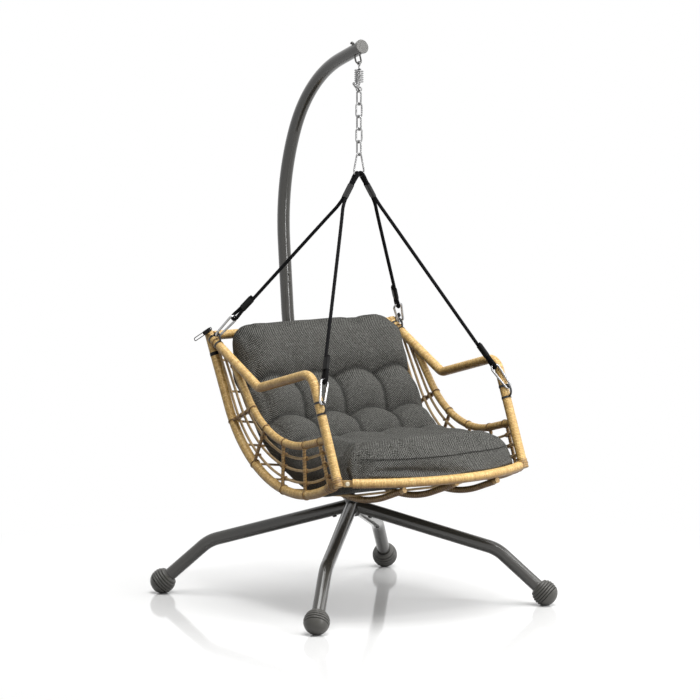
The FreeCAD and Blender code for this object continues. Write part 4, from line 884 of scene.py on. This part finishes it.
def cushion_places(points):
    """Distance along the seat rods, height above them and their heading, for points in the cushion."""
    line, reach = cushion_route(TOP_EXTRA, FRONT_EXTRA)
    heading = headings(line)
    near = np.empty(len(points), int)
    for first in range(0, len(points), CHUNK):
        chunk = points[first:first + CHUNK, None, 1:] - line[None, :, 1:]
        near[first:first + CHUNK] = np.argmin((chunk ** 2).sum(-1), axis=1)
    offset = points - line[near]
    offset[:, 0] = 0.0
    along = reach[near] - TOP_EXTRA + (offset * heading[near]).sum(axis=1)
    return along, np.linalg.norm(offset, axis=1), heading[near]


def mesh_points(mesh):
    """All points of a mesh as an array."""
    array = np.empty(len(mesh.vertices) * 3)
    mesh.vertices.foreach_get("co", array)
    return array.reshape(-1, 3)


def applied(piece):
    """Replace a piece's mesh by what its modifiers make of it."""
    graph = bpy.context.evaluated_depsgraph_get()
    mesh = bpy.data.meshes.new_from_object(piece.evaluated_get(graph))
    piece.modifiers.clear()
    piece.data = mesh


NET = 0.006
TUFT_ROW_PLACES = CUSHION_ROWS[CUSHION_ROWS[:, 4] > 0, 0]
TUFT_COLUMN_PLACES = np.array([-TUFT_COLUMN, 0.0, TUFT_COLUMN])
even_net = cushion.modifiers.new("even_net", "REMESH")
even_net.mode = "VOXEL"
even_net.voxel_size = NET
applied(cushion)
still = mesh_points(cushion.data)


def valley_gaps(points, along):
    """Distance to the nearest tuft, and to the nearest valley between pillows."""
    row_gap = np.abs(arched(along, points[:, 0])[:, None] - TUFT_ROW_PLACES[None]).min(axis=1)
    column_gap = np.abs(points[:, 0][:, None] - TUFT_COLUMN_PLACES[None]).min(axis=1)
    quilted = (along > TUFT_ROW_PLACES[0]) & (along < TUFT_ROW_PLACES[-1])
    return np.hypot(row_gap, column_gap), np.minimum(row_gap, np.where(quilted, column_gap, 1.0))


along, height, _ = cushion_places(still)
tuft_gap, valley_gap = valley_gaps(still, along)
held = (height < CUSHION_REST + PUFF + HELD_UNDER) | (tuft_gap < HELD_TUFT)
held |= (valley_gap < HELD_VALLEY) & (np.abs(still[:, 0]) < HELD_ACROSS)
print("cushion net", len(still), "held", int(held.sum()))

group = cushion.vertex_groups.new(name="held")
group.add(np.nonzero(held)[0].tolist(), 1.0, "REPLACE")
cloth = cushion.modifiers.new("air", "CLOTH")
cloth.settings.vertex_group_mass = "held"
cloth.settings.use_pressure = True
cloth.settings.uniform_pressure_force = AIR_PRESSURE
cloth.settings.effector_weights.gravity = 0.0
cloth.settings.quality = 4
cloth.collision_settings.use_collision = False
cloth.point_cache.frame_start = 1
cloth.point_cache.frame_end = AIR_FRAMES
for step in range(1, AIR_FRAMES + 1):
    bpy.context.scene.frame_set(step)
applied(cushion)
bpy.context.scene.frame_set(1)
shift = mesh_points(cushion.data) - still
size = np.linalg.norm(shift, axis=1, keepdims=True)
shift *= np.minimum(1.0, AIR_REACH / np.maximum(size, 1e-9))
kept = np.linalg.norm(shift, axis=1).max()
print("cushion moved", round(float(size.max()), 4), "kept", round(float(kept), 4))
cushion.data.vertices.foreach_set("co", lift_over_bar(still + shift).ravel())
cushion.data.update()

# %% [markdown]
# A seam with a thin welt runs across the front panel, at one height above the bar. It follows the filled
# cushion: at each place across the chair, the foremost point near that height.

# %% Front seam
SEAM_Z = 0.566
SEAM_HALF = 0.300
SEAM_STATIONS = 200
SEAM_WINDOW = 31
WELT = 0.0010


def seam_line(points, stations):
    """For each station across, the foremost point near the seam's height, then smoothed along the line."""
    level = np.where(np.abs(points[:, 2] - SEAM_Z) < NET, points[:, 1], np.inf)
    near = np.abs(points[:, 0][None] - stations[:, None]) < NET
    front = np.where(near, level[None], np.inf).min(axis=1)
    window = np.hanning(SEAM_WINDOW) / np.hanning(SEAM_WINDOW).sum()
    smooth = np.convolve(np.pad(front, SEAM_WINDOW // 2, mode="edge"), window, mode="valid")
    return np.column_stack([stations, smooth, np.full(len(stations), SEAM_Z)])


welt_line = seam_line(mesh_points(cushion.data), np.linspace(-SEAM_HALF, SEAM_HALF, SEAM_STATIONS))
welt = wound_tube("cushion_welt", welt_line, WELT, UPWARD, strand=0.0048, rise=0.0004, around=10)
print("welt faces", len(welt.data.polygons))

# %% [markdown]
# The cloth is a heathered basket weave. The weave needs directions on the cloth, so each point keeps two
# measures as an attribute: across the chair, and along the seat. On the sides and the ends the height
# takes the place of one of them. The threads run at 45 degrees to them. A second attribute marks the
# valleys between the pillows, where painted shade darkens the cloth.

# %% Directions on the cloth
FACING_LIMIT = 0.72
VALLEY_WIDTH = 0.009
VALLEY_ABOVE = 0.045
points = mesh_points(cushion.data)
along, height, heading = cushion_places(points)
facing = np.empty(len(points) * 3)
cushion.data.vertex_normals.foreach_get("vector", facing)
facing = facing.reshape(-1, 3)
endwise = np.abs((facing * heading).sum(axis=1)) > FACING_LIMIT
sidewise = np.abs(facing[:, 0]) > FACING_LIMIT
across = np.where(sidewise, height, points[:, 0])
onward = np.where(endwise, height, along)
weave_places = np.stack([across + onward, across - onward, height], axis=1) / math.sqrt(2)
_, valley_gap = valley_gaps(points, along)
valley = np.exp(-(valley_gap / VALLEY_WIDTH) ** 2) * (height > VALLEY_ABOVE)
cushion.data.attributes.new("valley", "FLOAT", "POINT").data.foreach_set("value", valley.astype(np.float32))
cushion.data.attributes.new("weave_place", "FLOAT_VECTOR", "POINT").data.foreach_set(
    "vector", weave_places.astype(np.float32).ravel())
cushion.data.polygons.foreach_set("use_smooth", np.ones(len(cushion.data.polygons), dtype=bool))
rounding = cushion.modifiers.new("rounding", "SUBSURF")
rounding.levels = 1
rounding.render_levels = 1
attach(cushion, "chair")
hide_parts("cushion")
print("cushion faces", len(cushion.data.polygons), "in valleys", int((valley > 0.5).sum()))

# %% [markdown]
# Warp and weft are two waves across the cloth. Their product is high where both threads lie on top, and a
# fine noise adds the heather.

# %% Cushion cloth
THREAD = 0.0052


def threads(material, vector, direction):
    """Round threads in one direction: a wave whose period is one thread."""
    node = add(material, "ShaderNodeTexWave", {"Vector": vector, "Scale": 2 * math.pi / (20 * THREAD),
                                               "Distortion": 0.15, "Detail": 1.0, "Detail Scale": 2.0},
               wave_type="BANDS", bands_direction=direction)
    return node.outputs["Fac"]


cloth_grey, shader = finish("cloth_heather", 0.92, Specular_IOR_Level=0.06)
place = measured(cloth_grey, "weave_place", "Vector")
weave = maths(cloth_grey, "MULTIPLY", threads(cloth_grey, place, "X"), threads(cloth_grey, place, "Y"))
speck = noise(cloth_grey, place, 200.0, 2.0, 0.6)
mixed = maths(cloth_grey, "MULTIPLY", maths(cloth_grey, "ADD", weave, speck), 0.5)
cloth_colour = ramp(cloth_grey, mixed, [(0.24, (0.026, 0.026, 0.024)), (0.42, (0.091, 0.090, 0.083)),
                                        (0.72, (0.31, 0.306, 0.285))])
# Painted shade: the cloth darkens in the valleys between the pillows.
valley_painted_shade = ramp(cloth_grey, measured(cloth_grey, "valley"),
                    [(0.0, (1.0, 1.0, 1.0)), (1.0, (0.42, 0.42, 0.42))])
paint(cloth_grey, shader, times(cloth_grey, cloth_colour, valley_painted_shade))
bump(cloth_grey, shader, weave, 0.5, 0.0012)
coat([cushion], cloth_grey)


def speckled(name, dark, light, roughness, metallic, scale, bump_strength, **sockets):
    """A finish whose colour and roughness wander a little with a fine noise."""
    material, shader = finish(name, roughness, metallic, **sockets)
    spot = object_place(material)
    fine = noise(material, spot, scale, 3.0)
    broad = noise(material, spot, scale / 25, 2.0)
    paint(material, shader, ramp(material, fine, [(0.3, dark), (0.7, light)]))
    rough = ranged(material, broad, {"From Min": 0.3, "From Max": 0.7,
                                     "To Min": roughness - 0.02, "To Max": roughness + 0.03})
    link(material, rough, shader.inputs["Roughness"])
    if bump_strength:
        bump(material, shader, fine, bump_strength, 0.0003)
    return material


# Painted shade: the welt is darker than the cloth, for the shade along the seam's crease.
welt_cloth_painted_shade = speckled("welt_cloth_painted_shade", (0.024, 0.024, 0.022), (0.060, 0.060, 0.056), 0.9, 0.0, 500.0, 0.4,
                      Specular_IOR_Level=0.06)
coat([welt], welt_cloth_painted_shade)
print("cloth threads", THREAD, "m")

# %% [markdown]
# ## Metals, rubber and plastic
# The stand is steel tube with a glossy dark grey coat, its bolts too, and its cap is a paler grey. Chain,
# spring and hooks are zinc plated, and the front bar's bolts are pale. The bows and the small clips are black
# steel. The feet are satin rubber, with painted shade in their grooves. The sleeves at the top of the ropes
# are dark grey, and those at their ends are black.

# %% Finishes of the solids
foot_rubber, shader = finish("foot_rubber", 0.38, Specular_IOR_Level=0.5)
# Painted shade: an occlusion measure darkens the rubber in the feet's grooves.
groove_depth = add(foot_rubber, "ShaderNodeAmbientOcclusion", {"Distance": 0.007}, samples=8).outputs["AO"]
foot_painted_shade = ramp(foot_rubber, groove_depth, [(0.55, (0.005, 0.005, 0.004)), (0.97, (0.072, 0.069, 0.061))])
paint(foot_rubber, shader, foot_painted_shade)
dress([n for n in nodes if n.startswith("foot_")], foot_rubber)
STAND = ("base_hub", "leg_front", "leg_rear", "mast_lower", "mast_upper", "leg_bolts", "mast_bolts", "u_bolt")
SPECKLED = (  # name, dark and light shade, roughness, metal, noise scale, bump, other sockets, solids
    ("stand_grey", (0.034, 0.032, 0.027), (0.046, 0.043, 0.037), 0.22, 0.0, 900.0, 0.0,
     {"Specular_IOR_Level": 0.55, "Coat_Weight": 0.4, "Coat_Roughness": 0.10}, STAND),
    ("zinc", (0.20,) * 3, (0.38,) * 3, 0.26, 1.0, 260.0, 0.0, {}, ("spring", "chain", "top_hook")),
    ("hook_silver", (0.32, 0.32, 0.325), (0.50, 0.50, 0.505), 0.26, 1.0, 260.0, 0.0, {}, ("hook_",)),
    ("bolt_pale", (0.56, 0.50, 0.36), (0.80, 0.74, 0.58), 0.4, 0.6, 600.0, 0.06, {}, ("front_bar_bolts",)),
    ("cap_grey", (0.105, 0.103, 0.096), (0.135, 0.132, 0.124), 0.40, 0.0, 600.0, 0.03, {}, ("mast_cap",)),
    ("black_steel", (0.008,) * 3, (0.022,) * 3, 0.4, 0.0, 700.0, 0.1,
     {"Specular_IOR_Level": 0.5}, ("hang_bows", "rear_clip_wires")),
    ("sleeve_grey", (0.014,) * 3, (0.024,) * 3, 0.4, 0.0, 600.0, 0.02,
     {"Specular_IOR_Level": 0.3}, ("sling_sleeves",)),
    ("sleeve_black", (0.004,) * 3, (0.009,) * 3, 0.45, 0.0, 600.0, 0.02,
     {"Specular_IOR_Level": 0.12}, ("rope_end_sleeves", "rear_clip_sleeves")))
solid_finishes = {}
for name, *values, sockets, starts in SPECKLED:
    solid_finishes[name] = speckled(name, *values, **sockets)
    dress([n for n in nodes if n.startswith(starts)], solid_finishes[name])
    print(name, "on", sum(n.startswith(starts) for n in nodes), "solids")
coat(bands, solid_finishes["sleeve_black"])

# %% [markdown]
# ## Floor and light
# The picture has a white ground with a soft shadow. Where rays from the camera meet the floor it is nearly
# white, and far away it fades into the white background. For the light that it throws back up at the chair
# it counts as a dark grey, so that undersides keep their shade.

# %% Floor
FLOOR_HALF = 12.0
FLOOR_SEEN = (0.96, 0.96, 0.955, 1.0)
FLOOR_BOUNCE = (0.22, 0.22, 0.22, 1.0)
FADE_FROM, FADE_TO = 0.85, 1.9


def seen_rays(owner):
    """1 for rays from the camera, from shiny surfaces and through clear ones, and 0 for all others."""
    rays = add(owner, "ShaderNodeLightPath").outputs
    direct = maths(owner, "MAXIMUM", rays["Is Camera Ray"], rays["Is Glossy Ray"])
    return maths(owner, "MAXIMUM", direct, rays["Is Transmission Ray"])


floor_mesh = bpy.data.meshes.new("floor")
floor_corners = FLOOR_HALF * np.array([(-1, -1, 0), (1, -1, 0), (1, 1, 0), (-1, 1, 0)])
floor_mesh.from_pydata(floor_corners.tolist(), [], [(0, 1, 2, 3)])
floor = in_scene("floor", floor_mesh)
floor_white, shader = finish("floor_white", 0.07, Specular_IOR_Level=0.22)
seen = seen_rays(floor_white)
shade = add(floor_white, "ShaderNodeMix", {0: seen, 6: FLOOR_BOUNCE, 7: FLOOR_SEEN}, data_type="RGBA")
paint(floor_white, shader, shade.outputs[2])
away = add(floor_white, "ShaderNodeVectorMath", {0: object_place(floor_white)}, operation="LENGTH")
far = ranged(floor_white, away.outputs["Value"], {"From Min": FADE_FROM, "From Max": FADE_TO},
             interpolation_type="SMOOTHSTEP")
fade = maths(floor_white, "MULTIPLY", far, seen)
white = add(floor_white, "ShaderNodeEmission", {"Color": (1, 1, 1, 1), "Strength": 1.0})
mix = add(floor_white, "ShaderNodeMixShader", {0: fade, 1: shader.outputs[0], 2: white.outputs[0]})
link(floor_white, mix.outputs[0], floor_white.node_tree.nodes["Material Output"].inputs["Surface"])
coat([floor], floor_white)
print("floor", 2 * FLOOR_HALF, "m wide")

# %% [markdown]
# A wide sun from above and one from the right light the chair. The sky adds more light from the picture's
# right than from its left. A narrow sun and two long panel lamps draw bright streaks along the tubes.

# %% Light
PICTURE_RIGHT = (math.cos(CAMERA_TURN), math.sin(CAMERA_TURN), 0.0)
SKY_LEFT, SKY_RIGHT = 0.0, 0.56
world = bpy.data.worlds.new("studio")
bpy.context.scene.world = world
world.use_nodes = True
background = world.node_tree.nodes["Background"]
background.inputs["Color"].default_value = (1.0, 1.0, 1.0, 1.0)
sky_place = add(world, "ShaderNodeTexCoord").outputs["Generated"]
sky_side = add(world, "ShaderNodeVectorMath", {0: sky_place, 1: PICTURE_RIGHT}, operation="DOT_PRODUCT")
sky_lamp = ranged(world, sky_side.outputs["Value"],
                  {"From Min": -1.0, "To Min": SKY_LEFT, "To Max": SKY_RIGHT})
sky_level = ranged(world, seen_rays(world), {"To Min": sky_lamp, "To Max": 1.0})
link(world, sky_level, background.inputs["Strength"])


def sun(name, strength, spread, toward):
    """A lamp as far off as the sun, so many degrees wide, that shines along a direction."""
    lamp = bpy.data.lights.new(name, "SUN")
    lamp.energy = strength
    lamp.angle = math.radians(spread)
    thing = in_scene(name, lamp)
    thing.rotation_euler = Vector(toward).to_track_quat("-Z", "Y").to_euler()


def strip(name, energy, size, place, toward, length_way):
    """A long panel lamp, which draws a bright streak on each tube; the camera does not see it.

    The panel's long side lies along length_way, made square to the direction it shines in.
    """
    lamp = bpy.data.lights.new(name, "AREA")
    lamp.shape = "RECTANGLE"
    lamp.size, lamp.size_y = size
    lamp.energy = energy
    thing = in_scene(name, lamp)
    thing.location = place
    back = -Vector(toward).normalized()
    long_side = (Vector(length_way) - back * back.dot(Vector(length_way))).normalized()
    thing.rotation_euler = Matrix((long_side.cross(back), long_side, back)).transposed().to_euler()
    thing.visible_camera = False


sun("key", 1.55, 34.0, (0.02, 0.08, -1.15))
sun("streak", 0.40, 8.0, (0.22, 0.62, -1.15))
sun("side", 1.0, 45.0, (-0.9, 0.55, -0.6))
strip("front_strip", 48.0, (0.24, 2.6), (0.36, -4.0, 1.35), (-0.09, 1.0, 0.0), UPWARD)
strip("overhead_strip", 170.0, (0.4, 9.0), (1.4, -3.7, 5.6), (0.4, 2.55, -5.1), PICTURE_RIGHT)
bpy.context.scene.view_settings.view_transform = "Standard"
print("lamps", len(bpy.data.lights))

# %% [markdown]
# ## Last update
# The view layer is brought up to date.

# %% View layer update
bpy.context.view_layer.update()
